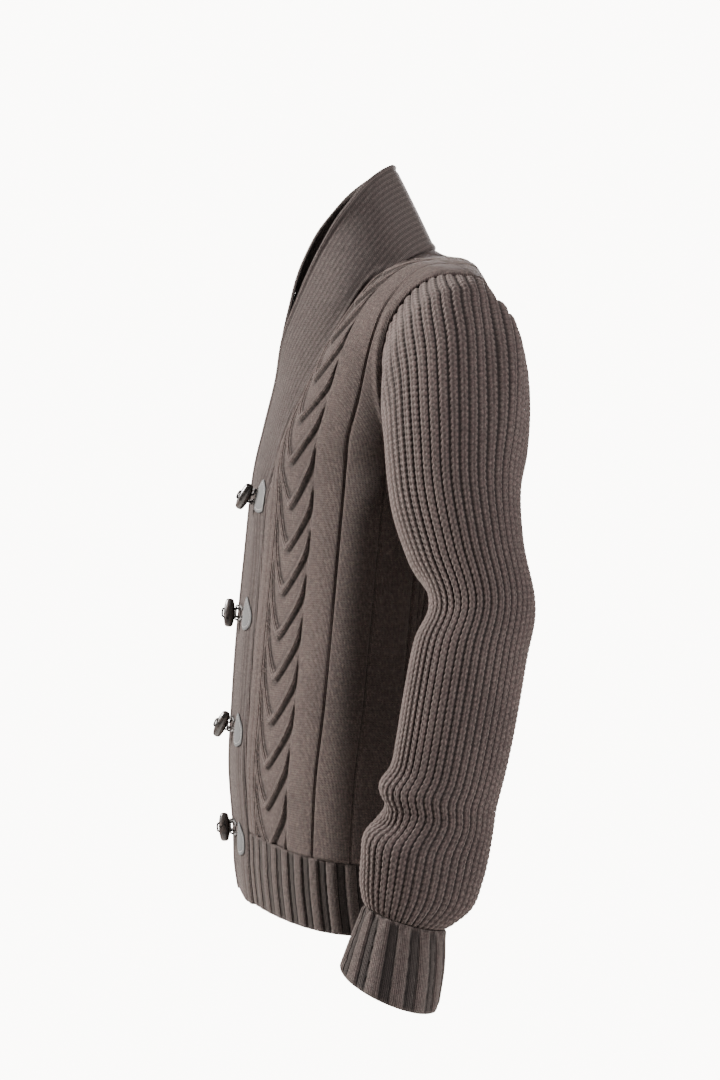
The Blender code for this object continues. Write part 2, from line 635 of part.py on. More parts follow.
def loop_path(toggle, y_at):
    """From the left patch round both strands of the toggle's cord and back."""
    start_x = toggle.patch_x - PATCH_WIDTH / 2 - 0.0018
    lean = abs(math.sin(math.radians(toggle.lean_side)))
    end_x = toggle.x - LOOP_REACH - TOGGLE_HOLE_SPREAD * lean
    stations = [
        (start_x, 0.60, 0.0),
        ((start_x + toggle.x) / 2, 0.90, 0.0),
        (toggle.x - 0.0005, 1.0, 0.0),
        (toggle.x - 0.0040, 1.0, 0.5),
        (end_x + 0.0012, 0.90, 0.95),
        (end_x, 0.50, 1.0),
    ]
    half = []
    for x, wide, climb in stations:
        away = CORD_REST + 0.0001 + (LOOP_OVER_CORD - CORD_REST) * climb
        half.append((x, away, toggle.z + LOOP_HALF_WIDTH * wide))
    path = [Vector((x, y_at(x, z) - away, z)) for x, away, z in half]
    path.append(Vector((end_x, y_at(end_x, toggle.z) - LOOP_OVER_CORD, toggle.z)))
    for x, away, z in reversed(half):
        low = 2 * toggle.z - z
        path.append(Vector((x, y_at(x, low) - away, low)))
    return path


def build_closures(cloth):
    """Toggles, their cords, the loops and the leather patches that hold both, on the cloth at the front."""
    y_at = surface_under(cloth)
    for number, toggle in enumerate(TOGGLES, 1):
        build_toggle(f"toggle_{number}", toggle, y_at)
        make_tube(f"toggle_cord_{number}", cord_path(toggle, y_at), CORD_RADIUS, "cord")
        make_tube(f"loop_{number}", loop_path(toggle, y_at), CORD_RADIUS, "cord")
        build_patch(f"patch_left_{number}", toggle.patch_x, toggle.patch_z, y_at)
        build_patch(f"patch_right_{number}", PATCH_RIGHT_X, toggle.patch_z, y_at)


def make_finishes():
    for name, (colour, roughness) in FINISHES.items():
        material = bpy.data.materials.new(name)
        material.use_nodes = True
        shader = material.node_tree.nodes["Principled BSDF"]
        shader.inputs["Base Color"].default_value = colour
        shader.inputs["Roughness"].default_value = roughness
        shader.inputs["Metallic"].default_value = 0.0
        material.diffuse_color = colour
        yield name, material


for old in list(bpy.data.objects):
    bpy.data.objects.remove(old, do_unlink=True)
finishes = dict(make_finishes())
build_closures(build_body() + build_collar())
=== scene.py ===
"""Looks of the shawl collar cardigan: knitted cloth, cables, ribs, toggles, cords and leather patches.

Every cloth piece is a closed shell on its solid's own form. Its grid has rows that run down the garment
and columns that run across it. The knit is relief on the outer face, in counts of stitches: a rib, a cable
strand or a groove has its own height, and the shaders read the same counts from the piece's UV map.
"""

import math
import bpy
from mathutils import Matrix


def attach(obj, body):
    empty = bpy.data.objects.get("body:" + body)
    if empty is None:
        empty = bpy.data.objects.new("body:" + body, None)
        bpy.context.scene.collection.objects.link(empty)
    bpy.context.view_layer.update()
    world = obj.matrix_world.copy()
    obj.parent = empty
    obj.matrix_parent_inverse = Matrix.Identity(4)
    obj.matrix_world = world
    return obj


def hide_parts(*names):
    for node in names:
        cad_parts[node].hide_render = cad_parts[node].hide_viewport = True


bl_info = {
    "name": "Shawl Collar Cardigan",
    "version": (1, 0, 0),
    "blender": (4, 5, 0),
    "location": "3D View > Sidebar > Cardigan",
    "description": "Builds the knitted surfaces, fastenings and stage of a shawl collar cardigan",
    "category": "Object",
}

from collections import namedtuple

import bpy
import numpy as np
from mathutils import Vector
from mathutils.bvhtree import BVHTree

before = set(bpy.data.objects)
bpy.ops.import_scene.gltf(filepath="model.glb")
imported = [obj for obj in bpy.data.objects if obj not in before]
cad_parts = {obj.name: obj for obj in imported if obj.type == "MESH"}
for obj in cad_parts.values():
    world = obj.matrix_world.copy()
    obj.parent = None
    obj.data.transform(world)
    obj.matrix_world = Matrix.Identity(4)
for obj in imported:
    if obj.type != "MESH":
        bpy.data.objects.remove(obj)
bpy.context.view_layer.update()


# ---------------------------------------------------------------------------------------------
# The garment's form, in metres, as its solids have it. It faces -Y, the wearer's left is +X and
# the origin is the nape.

BODY_WALL = 0.003
SLEEVE_WALL = 0.004
COLLAR_WALL = 0.004
ROUNDNESS = 2.3
LAP_LIFT = 0.0060
LAP_EDGE_X = -0.020
LAP_FROM_X, LAP_FULL_X = 0.052, 0.028
NECK_AXIS_Y = -0.075

# Rows of the front yoke, from the collar seam to the armhole, as Bezier curves of four points
Yoke = namedtuple("Yoke", "name seam inner outer armhole")
FRONT_YOKE = [
    Yoke("shoulder", (0.072, -0.046, -0.0165), (0.125, -0.030, -0.018),
         (0.175, -0.014, -0.030), (0.222, -0.008, -0.046)),
    Yoke("shoulder front", (0.080, -0.066, -0.028), (0.125, -0.060, -0.023),
         (0.175, -0.048, -0.029), (0.218, -0.040, -0.0445)),
    Yoke("collar bone", (0.081, -0.0838, -0.0414), (0.124, -0.084, -0.034),
         (0.176, -0.076, -0.040), (0.212, -0.064, -0.057)),
    Yoke("upper chest", (0.082, -0.1002, -0.0637), (0.122, -0.106, -0.056),
         (0.172, -0.102, -0.060), (0.204, -0.079, -0.076)),
    Yoke("cap notch", (0.082, -0.1115, -0.0830), (0.118, -0.122, -0.077),
         (0.168, -0.120, -0.081), (0.197, -0.088, -0.096)),
    Yoke("high chest", (0.080, -0.1271, -0.1097), (0.114, -0.141, -0.106),
         (0.164, -0.138, -0.112), (0.190, -0.092, -0.126)),
    Yoke("mid chest", (0.075, -0.1470, -0.1490), (0.111, -0.160, -0.146),
         (0.166, -0.150, -0.155), (0.184, -0.088, -0.168)),
    Yoke("low chest", (0.066, -0.1650, -0.1860), (0.107, -0.176, -0.184),
         (0.174, -0.155, -0.194), (0.180, -0.072, -0.208)),
    Yoke("underarm", (0.0575, -0.1760, -0.2220), (0.104, -0.184, -0.221),
         (0.180, -0.160, -0.230), (0.178, -0.045, -0.236)),
]
# Rows of the back yoke, from the centre back to the armhole
BACK_YOKE = [
    Yoke("blade top", (0.0, 0.010, -0.018), (0.060, 0.010, -0.008),
         (0.155, 0.006, -0.022), (0.221, 0.003, -0.052)),
    Yoke("blade", (0.0, 0.018, -0.048), (0.065, 0.017, -0.042),
         (0.160, 0.017, -0.052), (0.217, 0.011, -0.070)),
    Yoke("blade low", (0.0, 0.025, -0.078), (0.070, 0.026, -0.074),
         (0.155, 0.029, -0.082), (0.211, 0.018, -0.094)),
    Yoke("arm pit back", (0.0, 0.030, -0.110), (0.070, 0.033, -0.107),
         (0.150, 0.038, -0.112), (0.203, 0.022, -0.121)),
    Yoke("mid back", (0.0, 0.032, -0.142), (0.070, 0.037, -0.140),
         (0.150, 0.042, -0.144), (0.195, 0.018, -0.150)),
    Yoke("low blade", (0.0, 0.032, -0.175), (0.070, 0.038, -0.173),
         (0.152, 0.042, -0.177), (0.187, 0.008, -0.182)),
    Yoke("back underarm", (0.0, 0.030, -0.207), (0.070, 0.037, -0.206),
         (0.158, 0.040, -0.210), (0.181, -0.014, -0.214)),
    Yoke("underarm", (0.0, 0.028, -0.238), (0.075, 0.036, -0.238),
         (0.168, 0.032, -0.240), (0.178, -0.045, -0.236)),
]
Section = namedtuple("Section", "name z_front z_side z_back half_width y_front y_wide y_back seam_x side_y")
SECTIONS = [
    Section("chest", -0.262, -0.272, -0.275, 0.1780, -0.1885, -0.085, 0.0240, 0.0560, -0.046),
    Section("ribs", -0.325, -0.332, -0.334, 0.1755, -0.1934, -0.090, 0.0130, 0.0545, -0.050),
    Section("waist", -0.395, -0.399, -0.400, 0.1735, -0.2001, -0.095, 0.0040, 0.0530, -0.055),
    Section("low waist", -0.460, -0.463, -0.464, 0.1735, -0.2047, -0.098, 0.0010, 0.0510, -0.060),
    Section("belly", -0.528, -0.536, -0.534, 0.1745, -0.2080, -0.099, 0.0040, 0.0485, -0.064),
    Section("hem seam", -0.592, -0.612, -0.602, 0.1740, -0.2036, -0.098, 0.0060, 0.0470, -0.067),
    Section("hem rib", -0.628, -0.648, -0.637, 0.1730, -0.2024, -0.097, 0.0050, 0.0465, -0.068),
    Section("hem edge", -0.665, -0.682, -0.671, 0.1725, -0.1985, -0.096, 0.0040, 0.0460, -0.069),
]
BACK_NECK = [(0.0, 0.0, 0.0), (0.030, -0.009, -0.002), (0.053, -0.027, -0.008)]
Fall = namedtuple("Fall", "name edge low_bulge high_bulge")
COLLAR = [
    Fall("centre back", (0.0, -0.044, 0.088), 0.001, 0.001),
    Fall("back neck", (0.021, -0.052, 0.0855), 0.001, 0.001),
    Fall("side back", (0.038, -0.067, 0.0770), 0.002, 0.001),
    Fall("side neck", (0.050, -0.084, 0.0635), 0.003, 0.001),
    Fall("shoulder front", (0.057, -0.101, 0.0442), 0.004, 0.0),
    Fall("collar bone", (0.058, -0.1163, 0.0240), 0.005, 0.0),
    Fall("upper chest", (0.053, -0.1300, -0.0010), 0.006, 0.001),
    Fall("cap notch", (0.042, -0.1407, -0.0249), 0.006, 0.001),
    Fall("high chest", (0.028, -0.1510, -0.0530), 0.006, 0.002),
    Fall("mid chest", (0.014, -0.1636, -0.0912), 0.006, 0.003),
    Fall("low chest", (0.003, -0.1690, -0.1350), 0.005, 0.004),
    Fall("underarm", (-0.010, -0.1790, -0.1830), 0.004, 0.004),
]
EDGE_RISE = {"chest": (0.030, 0.0055), "ribs": (0.010, 0.0012), "hem edge": (0.009, 0.0)}
Ring = namedtuple("Ring", "name outer_x outer_z inner_x inner_z front_y back_y front_rise")
SLEEVE = [
    Ring("cap", 0.254, -0.062, 0.1865, -0.250, -0.098, 0.041, 0.000),
    Ring("head", 0.282, -0.110, 0.1890, -0.260, -0.098, 0.041, -0.003),
    Ring("upper arm", 0.300, -0.177, 0.1940, -0.272, -0.097, 0.036, -0.006),
    Ring("bicep", 0.309, -0.240, 0.2010, -0.290, -0.092, 0.027, -0.008),
    Ring("above elbow", 0.317, -0.297, 0.2140, -0.324, -0.079, 0.027, -0.008),
    Ring("elbow", 0.325, -0.352, 0.2320, -0.362, -0.0645, 0.033, -0.002),
    Ring("below elbow", 0.331, -0.398, 0.2400, -0.401, -0.0785, 0.0257, 0.008),
    Ring("forearm", 0.335, -0.452, 0.2450, -0.450, -0.0890, 0.0154, 0.012),
    Ring("low forearm", 0.336, -0.497, 0.2480, -0.492, -0.0965, 0.0056, 0.013),
    Ring("above fold", 0.336, -0.522, 0.2490, -0.517, -0.1017, -0.001, 0.013),
    Ring("first fold", 0.337, -0.540, 0.2480, -0.532, -0.1115, -0.005, 0.012),
    Ring("fold valley", 0.336, -0.560, 0.2500, -0.552, -0.1080, -0.008, 0.012),
    Ring("second fold", 0.338, -0.584, 0.2490, -0.576, -0.1250, -0.0125, 0.013),
    Ring("blouse", 0.338, -0.605, 0.2490, -0.597, -0.1295, -0.018, 0.013),
    Ring("low blouse", 0.335, -0.630, 0.2520, -0.620, -0.1317, -0.028, 0.013),
    Ring("cuff seam", 0.328, -0.651, 0.2590, -0.642, -0.1280, -0.053, 0.0106),
]
CUFF = [
    SLEEVE[-1],
    Ring("cuff mid", 0.331, -0.687, 0.2570, -0.670, -0.1400, -0.054, 0.0135),
    Ring("cuff edge", 0.334, -0.724, 0.2550, -0.698, -0.1515, -0.0595, 0.0170),
]
UNDERARM_ROW = len(FRONT_YOKE) - 1
HEM_ROW = len(FRONT_YOKE) + 5
LAST_ROW = len(FRONT_YOKE) + len(SECTIONS) - 1


def smooth_step(value, low, high):
    share = np.clip((value - low) / (high - low), 0.0, 1.0)
    return share * share * (3.0 - 2.0 * share)


def bell(value, middle, width):
    """1 in the middle, falling smoothly to 0 at a distance of width."""
    return smooth_step(-np.abs(value - middle), -width, 0.0)


def unit(vectors):
    return vectors / np.linalg.norm(vectors, axis=-1, keepdims=True)


def spline(knots, places):
    """Points of a smooth curve through rows of knots. places counts in knots, by row or by point."""
    knots = np.asarray(knots, float)
    padded = np.concatenate([[2 * knots[0] - knots[1]], knots, [2 * knots[-1] - knots[-2]]])
    places = np.asarray(places, float)
    first = np.clip(np.floor(places).astype(int), 0, len(knots) - 2)
    t = places - first
    if places.ndim == 2:
        columns = np.arange(places.shape[1])[None, :]
        a, b, c, d = (padded[first + step, columns] for step in range(4))
    else:
        a, b, c, d = (padded[first + step] for step in range(4))
    t = t.reshape(t.shape + (1,) * (a.ndim - t.ndim))
    cubic = (3 * b - a - 3 * c + d) * t**3
    return 0.5 * (2 * b + (c - a) * t + (2 * a - 5 * b + 4 * c - d) * t * t + cubic)


def lengths_along(points):
    """How far each point lies along its column from the first row."""
    steps = np.linalg.norm(np.diff(points, axis=0), axis=-1)
    return np.concatenate([np.zeros((1, *steps.shape[1:])), np.cumsum(steps, axis=0)])


def even_places(knots, first, last, count):
    """Places from first to last, evenly spaced along the middle of the rows."""
    fine = np.linspace(first, last, 24 * len(knots))
    middle = spline(np.asarray(knots, float).mean(axis=1), fine)
    along = lengths_along(middle)
    return np.interp(np.linspace(0, along[-1], count), along, fine)


def bezier(points, shares):
    a, b, c, d = (np.array(p, float) for p in points)
    t = np.asarray(shares)[:, None]
    return a * (1 - t) ** 3 + 3 * b * t * (1 - t) ** 2 + 3 * c * t * t * (1 - t) + d * t**3


def resampled(points, count):
    """The same curve with its points evenly spaced."""
    along = lengths_along(points)
    wanted = np.linspace(0, along[-1], count)
    return np.stack([np.interp(wanted, along, points[:, axis]) for axis in range(3)], axis=1)


def ring_points(section, angles):
    """Points of a torso ring, by their angle from the centre front towards the wearer's left."""
    power = 2.0 / ROUNDNESS
    sine, cosine = np.sin(angles), np.cos(angles)
    front = cosine > 0
    x = section.half_width * np.sign(sine) * np.abs(sine) ** power
    y_end = np.where(front, section.y_front, section.y_back)
    z_end = np.where(front, section.z_front, section.z_back)
    y = section.y_wide + (y_end - section.y_wide) * np.abs(cosine) ** power
    z = section.z_side + (z_end - section.z_side) * cosine * cosine
    return np.stack([x, y, z], axis=1)


def angle_at_x(section, x):
    share = (abs(x) / section.half_width) ** (ROUNDNESS / 2)
    return math.copysign(math.asin(share), x)


def side_angle(section):
    share = (section.side_y - section.y_wide) / (section.y_back - section.y_wide)
    return math.pi - math.acos(share ** (ROUNDNESS / 2))


def ring_row(section, first, last, count):
    return resampled(ring_points(section, np.linspace(first, last, 400)), count)


def front_knots(count):
    """Rows of the left front with its hem, from the collar seam to the armhole and side seam."""
    shares = np.linspace(0, 1, 200)
    rows = [resampled(bezier(y[1:], shares), count) for y in FRONT_YOKE]
    rows += [ring_row(s, angle_at_x(s, s.seam_x), side_angle(s), count) for s in SECTIONS]
    return np.array(rows)


def neck_seam():
    """The back neck seam from the centre back to the shoulder."""
    return spline([*BACK_NECK, FRONT_YOKE[0].seam], np.linspace(0, 3, 60))


def back_knots(count):
    """Rows of the left half of the back with its hem, from the centre back to the armhole and side seam."""
    shares = np.linspace(0, 1, 200)
    top = np.concatenate([neck_seam(), bezier(FRONT_YOKE[0][1:], shares)[1:]])
    rows = [resampled(top, count)]
    rows += [resampled(bezier(y[1:], shares), count) for y in BACK_YOKE]
    rows += [ring_row(s, math.pi, side_angle(s), count) for s in SECTIONS]
    return np.array(rows)


def collar_knots(count, lift):
    """Rows of one half of the collar and band, on the wearer's left. lift is 1 on the side that laps over."""
    shares = np.linspace(0, 1, count)
    seams = [*BACK_NECK, *(y.seam for y in FRONT_YOKE)]
    rows = []
    for number, (fall, seam) in enumerate(zip(COLLAR, seams)):
        start, end = np.array(seam, float), np.array(fall.edge, float)
        lapped = smooth_step(number, 7, 10) * (1 - lift)
        away = (start + end) / 2 - (0, NECK_AXIS_Y, 0)
        away = unit(away * (1, 1, 0))
        low = start + (end - start) / 3 + away * fall.low_bulge
        high = start + (end - start) * 2 / 3 + away * fall.high_bulge
        high[1] += lapped * LAP_LIFT
        end[1] += lapped * LAP_LIFT
        rows.append(bezier((start, low, high, end), shares))
    for section in SECTIONS:
        row = ring_row(section, angle_at_x(section, section.seam_x), angle_at_x(section, LAP_EDGE_X), count)
        row[:, 1] -= lift * LAP_LIFT * (1 - smooth_step(row[:, 0], LAP_FULL_X, LAP_FROM_X))
        up, further_in = EDGE_RISE.get(section.name, (0.0, 0.0))
        row[:, 2] += up * shares
        row[:, 1] += further_in * shares
        rows.append(row)
    return np.array(rows)


def armhole(turns):
    """The left armhole, turns from 0 to 1: from the shoulder down the front, and up the back."""
    sides = [ring_points(s, np.array([side_angle(s)]))[0] for s in SECTIONS]
    front = np.array([y.armhole for y in FRONT_YOKE] + sides)
    back = front.copy()
    back[1 : len(BACK_YOKE) + 1] = [y.armhole for y in BACK_YOKE]
    half = 2 * UNDERARM_ROW
    down, up = spline(front, turns * half), spline(back, (1 - turns) * half)
    return np.where((turns <= 0.5)[:, None], down, up)


def arm_ring(ring, turns):
    """Points round the arm: from its outer side to the front, the inner side and the back."""
    outer = np.array([ring.outer_x, 0.0, ring.outer_z])
    inner = np.array([ring.inner_x, 0.0, ring.inner_z])
    middle = (outer + inner) / 2 + (0, (ring.front_y + ring.back_y) / 2, 0)
    half_deep = np.array([0.0, (ring.front_y - ring.back_y) / 2, ring.front_rise])
    angles = turns * 2 * math.pi
    return middle + np.cos(angles)[:, None] * (outer - inner) / 2 + np.sin(angles)[:, None] * half_deep


def normals(grid, closed=False):
    """Outward normals of a grid whose rows run down and whose columns run towards the wearer's left."""
    if closed:
        across = np.roll(grid, -1, axis=1) - np.roll(grid, 1, axis=1)
    else:
        across = np.gradient(grid, axis=1)
    return unit(np.cross(np.gradient(grid, axis=0), across))


# ---------------------------------------------------------------------------------------------
# Relief of the knit, in metres out from the cloth's form

STITCH_WIDE, STITCH_TALL = 0.0028, 0.0022
# The cable: nested Vs of raised strands. Its middle is measured from the main groove.
CABLE_MIDDLE = -0.067
CABLE_HALF = 0.0290
CABLE_BED = -0.0026
CABLE_REPEAT = 0.0428
LOWEST_V_UP = 0.032
V_POINT = -0.0050
V_TALL = 0.0580
V_CURVE = 0.62
STRAND_RIGHT, STRAND_LEFT = 0.0074, 0.0064
STRAND_HIGH = 0.0036
GAP_WIDE, GAP_DEEP = 0.0026, 0.0010
# Purl grooves of the front, by their distance from the main one
Groove = namedtuple("Groove", "place depth width")
MAIN = Groove(0.0, 0.0015, 0.0011)
BESIDE_CABLE = Groove(-0.0355, 0.0022, 0.0015)
GROOVES = (
    MAIN,
    BESIDE_CABLE,
    Groove(0.039, 0.0014, 0.0011),
    Groove(0.078, 0.0014, 0.0014),
    Groove(-0.0985, 0.0013, 0.0014),
    Groove(-0.1090, 0.0007, 0.0014),
)
SWELL = 0.0010
BACK_PANEL = 0.039
# How far the main groove lies from the collar seam, at each row of knots
MAIN_GROOVE = (0.0960, 0.1030, 0.1120, 0.1110, 0.1110, 0.1120, 0.1145, 0.1190, 0.1265,
               0.1300, 0.1290, 0.1290, 0.1290, 0.1260, 0.1205, 0.1190, 0.1185)


def cavity(relief, reach, scale):
    """How deep each point lies under its surroundings, from 0 to 1, which sets painted shade in the recesses.
    reach counts points.
    """
    padded = np.pad(relief, reach, mode="edge")
    total = np.cumsum(np.cumsum(np.pad(padded, ((1, 0), (1, 0))), axis=0), axis=1)
    size = 2 * reach + 1
    strips = total[size:] - total[:-size]
    mean = (strips[:, size:] - strips[:, :-size]) / size**2
    return np.clip((mean - relief) / scale, 0.0, 1.0)


def edge_fall(rows, columns, share_top, share_bottom, share_first, share_last, depth):
    """Relief that sinks by depth towards the seams. Each share is how much of the piece the fall takes."""
    down = np.linspace(0, 1, rows)[:, None]
    across = np.linspace(0, 1, columns)[None, :]
    fall = np.zeros((rows, columns))
    shares = (share_top, share_bottom, share_first, share_last)
    for place, share in zip((down, 1 - down, across, 1 - across), shares):
        if share:
            fall = np.maximum(fall, 1 - smooth_step(place, 0, share))
    return -depth * fall


def braid(across, down):
    """Nested Vs, each a raised strand that runs from both edges down to its point and lies over the V below.
    It gives the height, the distance from the strand's lower edge and the painted shadow of the dark gap
    under it."""
    on_right = across > V_POINT
    reach = np.where(on_right, CABLE_HALF - V_POINT, CABLE_HALF + V_POINT)
    share = np.clip(np.sqrt(((across - V_POINT) / reach) ** 2 + 0.01) - 0.1, 0, 0.995)
    climb = V_TALL * (1 - (1 - share) ** V_CURVE)
    slope = V_CURVE * V_TALL * (1 - share) ** (V_CURVE - 1) / reach
    along = (down + climb) % CABLE_REPEAT
    below, above = along / np.sqrt(1 + slope**2), (CABLE_REPEAT - along) / np.sqrt(1 + slope**2)
    strand = np.clip(above / np.where(on_right, STRAND_RIGHT, STRAND_LEFT), 0, 1)
    height = CABLE_BED + 0.0006 * (1 - share**4) - GAP_DEEP * np.exp(-((below / GAP_WIDE) ** 2))
    height += STRAND_HIGH * np.clip(1 - (1.8 * strand - 0.8) ** 2, 0, 1) ** 0.7 * (strand < 1)
    return height, above, 0.5 * np.exp(-((below / 0.0012) ** 2)) * (strand > 0.5)


def stripes(across, grooves):
    """Grooves that run down the cloth."""
    relief = np.zeros(across.shape)
    for place, depth, width in grooves:
        relief -= depth * np.exp(-(((across - place) / width) ** 2))
    return relief


def panels_between(across, places, rise):
    """A soft swell between each groove and the next."""
    relief = np.zeros(across.shape)
    for low, high in zip(places, places[1:]):
        share = np.clip((across - low) / (high - low), 0, 1)
        relief += rise * np.sin(share * math.pi) ** 0.6 * ((share > 0) & (share < 1))
    return relief


# ---------------------------------------------------------------------------------------------
# Meshes

def new_object(name, points, faces, edges=()):
    mesh = bpy.data.meshes.new(name)
    mesh.from_pydata(points, edges, faces)
    mesh.shade_smooth()
    made = bpy.data.objects.new(name, mesh)
    bpy.context.scene.collection.objects.link(made)
    return made


def shell(name, outer, inner, stitches, hollow, closed=False, row_step=5, column_step=6):
    """A closed wall. Its outer face has every point of the grid and its inner face every few, with their own
    UV map in stitches. A closed one joins its last column to its first, and stitches has a column more."""
    rows, columns = outer.shape[:2]
    picked_rows = sorted({*range(0, rows, row_step), rows - 1})
    last = columns if closed else columns - 1
    picked_columns = sorted({*range(0, last, column_step), last})
    inner_columns = [c % columns for c in picked_columns[: -1 if closed else None]]
    count = rows * columns
    width = len(inner_columns)
    inner_points = inner[np.ix_(picked_rows, inner_columns)].reshape(-1, 3)

    def at(r, c):
        return r * columns + c % columns

    def behind(i, j):
        return count + i * width + j % width

    faces, maps = [], []

    def add(corners, places):
        faces.append(corners)
        maps.extend(stitches[r, c] for r, c in places)

    r, c = np.meshgrid(np.arange(rows - 1), np.arange(last), indexing="ij")
    r, c = r.ravel(), c.ravel()
    quads = [(r + 1, c), (r + 1, c + 1), (r, c + 1), (r, c)]
    outer_faces = np.stack([y * columns + x % columns for y, x in quads], axis=1)
    outer_maps = np.stack([stitches[y, x] for y, x in quads], axis=1).reshape(-1, 2)
    for i, (r0, r1) in enumerate(zip(picked_rows, picked_rows[1:])):
        for j, (c0, c1) in enumerate(zip(picked_columns, picked_columns[1:])):
            add([behind(i, j), behind(i, j + 1), behind(i + 1, j + 1), behind(i + 1, j)],
                [(r0, c0), (r0, c1), (r1, c1), (r1, c0)])
    for j, (c0, c1) in enumerate(zip(picked_columns, picked_columns[1:])):
        for i, row in ((0, 0), (len(picked_rows) - 1, rows - 1)):
            corners = [at(row, c) for c in range(c0, c1 + 1)] + [behind(i, j + 1), behind(i, j)]
            places = [(row, c) for c in range(c0, c1 + 1)] + [(row, c1), (row, c0)]
            turn = -1 if row else 1
            add(corners[::turn], places[::turn])
    if not closed:
        for i, (r0, r1) in enumerate(zip(picked_rows, picked_rows[1:])):
            for j, column in ((0, 0), (width - 1, columns - 1)):
                corners = [at(r, column) for r in range(r0, r1 + 1)] + [behind(i + 1, j), behind(i, j)]
                places = [(r, column) for r in range(r0, r1 + 1)] + [(r1, column), (r0, column)]
                turn = 1 if column else -1
                add(corners[::turn], places[::turn])
    points = np.concatenate([outer.reshape(-1, 3), inner_points])
    made = new_object(name, points.tolist(), outer_faces.tolist() + faces)
    layer = made.data.uv_layers.new(name="Stitches")
    layer.data.foreach_set("uv", np.concatenate([outer_maps, np.array(maps)]).astype(np.float32).ravel())
    # Painted shade: the outer face takes the amounts it is given, and the inner face gets a fixed quarter of
    # painted shade everywhere.
    shade_amounts = np.concatenate([hollow.ravel(), np.full(len(inner_points), 0.25)])
    store(made, "hollow", "FLOAT", "value", shade_amounts)
    return made


def store(made, label, kind, field, values):
    """Gives each point of a mesh its own value."""
    attribute = made.data.attributes.new(label, kind, "POINT")
    attribute.data.foreach_set(field, values.astype(np.float32).ravel())


def mirrored(grid):
    """The same grid on the wearer's right, with its columns turned round so that it still faces out."""
    return grid[:, ::-1] * np.array([-1.0, 1.0, 1.0])


def both_sides(outer, inner, *counts):
    """The layers of a left piece and of its mirror image. counts only turn their columns round."""
    yield "left", (outer, inner, *counts)
    yield "right", (mirrored(outer), mirrored(inner), *(count[:, ::-1] for count in counts))


def all_round(across, down, round_count):
    """Counts of stitches at each point of a tube, with the first column again after the last one."""
    across = np.concatenate([across, across[:, :1] - round_count], axis=1)
    return np.stack([across, np.concatenate([down, down[:, :1]], axis=1)], axis=2)


def hand_over(made, material, slot, *nodes):
    """The piece gets its material, rides with the garment and stands for its solids."""
    made.data.materials.clear()
    made.data.materials.append(material)
    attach(made, "root")
    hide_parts(*nodes)
    return made


def declare_sheet(grid, closed=False):
    """Measures the widest row of the cloth's surface, all round on a tube, and keeps nothing of it."""
    if closed:
        grid = np.concatenate([grid, grid[:, :1]], axis=1)
    width = float(lengths_along(grid.transpose(1, 0, 2)).max())


# ---------------------------------------------------------------------------------------------
# Node trees, for shaders and for geometry

SOCKETS = {
    "float": "NodeSocketFloat",
    "int": "NodeSocketInt",
    "vector": "NodeSocketVector",
    "colour": "NodeSocketColor",
    "material": "NodeSocketMaterial",
    "geometry": "NodeSocketGeometry",
}


class Tree:
    """A node tree, and short ways to fill it. Each value is a constant or another node's output."""

    def __init__(self, tree):
        self.tree = tree

    def put(self, socket, value):
        if isinstance(value, bpy.types.NodeSocket):
            self.tree.links.new(value, socket)
        else:
            socket.default_value = value

    def node(self, kind, settings=(), **inputs):
        """A node's outputs. settings are its own options; inputs go by name, with _ for spaces."""
        made = self.tree.nodes.new(kind)
        for label, value in dict(settings).items():
            setattr(made, label, value)
        for label, value in inputs.items():
            name = label.replace("_", " ")
            self.put(next(s for s in made.inputs if s.name == name and s.enabled), value)
        return made.outputs

    def maths(self, operation, *values, kind="ShaderNodeMath"):
        made = self.tree.nodes.new(kind)
        made.operation = operation
        for socket, value in zip(made.inputs, values):
            self.put(socket, value)
        return made.outputs[0]

    def vector(self, operation, *values):
        return self.maths(operation, *values, kind="ShaderNodeVectorMath")

    def scaled(self, vector, share):
        return self.node("ShaderNodeVectorMath", {"operation": "SCALE"}, Vector=vector, Scale=share)["Vector"]

    def length(self, vector):
        return self.node("ShaderNodeVectorMath", {"operation": "LENGTH"}, Vector=vector)["Value"]

    def off_centre(self, value, centre):
        return self.maths("ABSOLUTE", self.maths("SUBTRACT", value, centre))

    def ramp(self, value, low, high, to_low=0.0, to_high=1.0):
        """value moved smoothly from the range low to high into another range."""
        ranges = {"From_Min": low, "From_Max": high, "To_Min": to_low, "To_Max": to_high}
        settings = {"interpolation_type": "SMOOTHSTEP"}
        return self.node("ShaderNodeMapRange", settings, Value=value, **ranges)["Result"]

    def mixed(self, share, first, second, kind="MIX"):
        """One colour laid over another."""
        made = self.tree.nodes.new("ShaderNodeMix")
        made.data_type = "RGBA"
        made.blend_type = kind
        for number, value in ((0, share), (6, first), (7, second)):
            self.put(made.inputs[number], value)
        return made.outputs[2]

    def place(self):
        return self.node("ShaderNodeTexCoord")["Object"]

    def noise(self, place, scale, detail, distortion=0.0):
        inputs = {"Scale": scale, "Detail": detail, "Distortion": distortion}
        return self.node("ShaderNodeTexNoise", Vector=place, **inputs)["Fac"]

    def bump(self, height, strength, distance):
        return self.node("ShaderNodeBump", Height=height, Strength=strength, Distance=distance)["Normal"]

    def group(self, name, **inputs):
        return self.node("ShaderNodeGroup", {"node_tree": bpy.data.node_groups[name]}, **inputs)

    def attribute(self, label, kind="FLOAT"):
        return self.node("GeometryNodeInputNamedAttribute", {"data_type": kind}, Name=label)["Attribute"]


def new_group(kind, name, inputs, outputs):
    """A node group, with what it is given and what is wanted from it."""
    group = bpy.data.node_groups.new(name, kind)
    for way, sockets in (("INPUT", inputs), ("OUTPUT", outputs)):
        for label, sort in sockets.items():
            group.interface.new_socket(label, in_out=way, socket_type=SOCKETS[sort])
    tree = Tree(group)
    return tree, tree.node("NodeGroupInput"), group.nodes.new("NodeGroupOutput").inputs


# ---------------------------------------------------------------------------------------------
# Materials. The knit reads the piece's own UV map, whose units are stitches: u counts columns of
# stitches and v counts rows, so that the knit follows the cloth. The rest reads object coordinates.

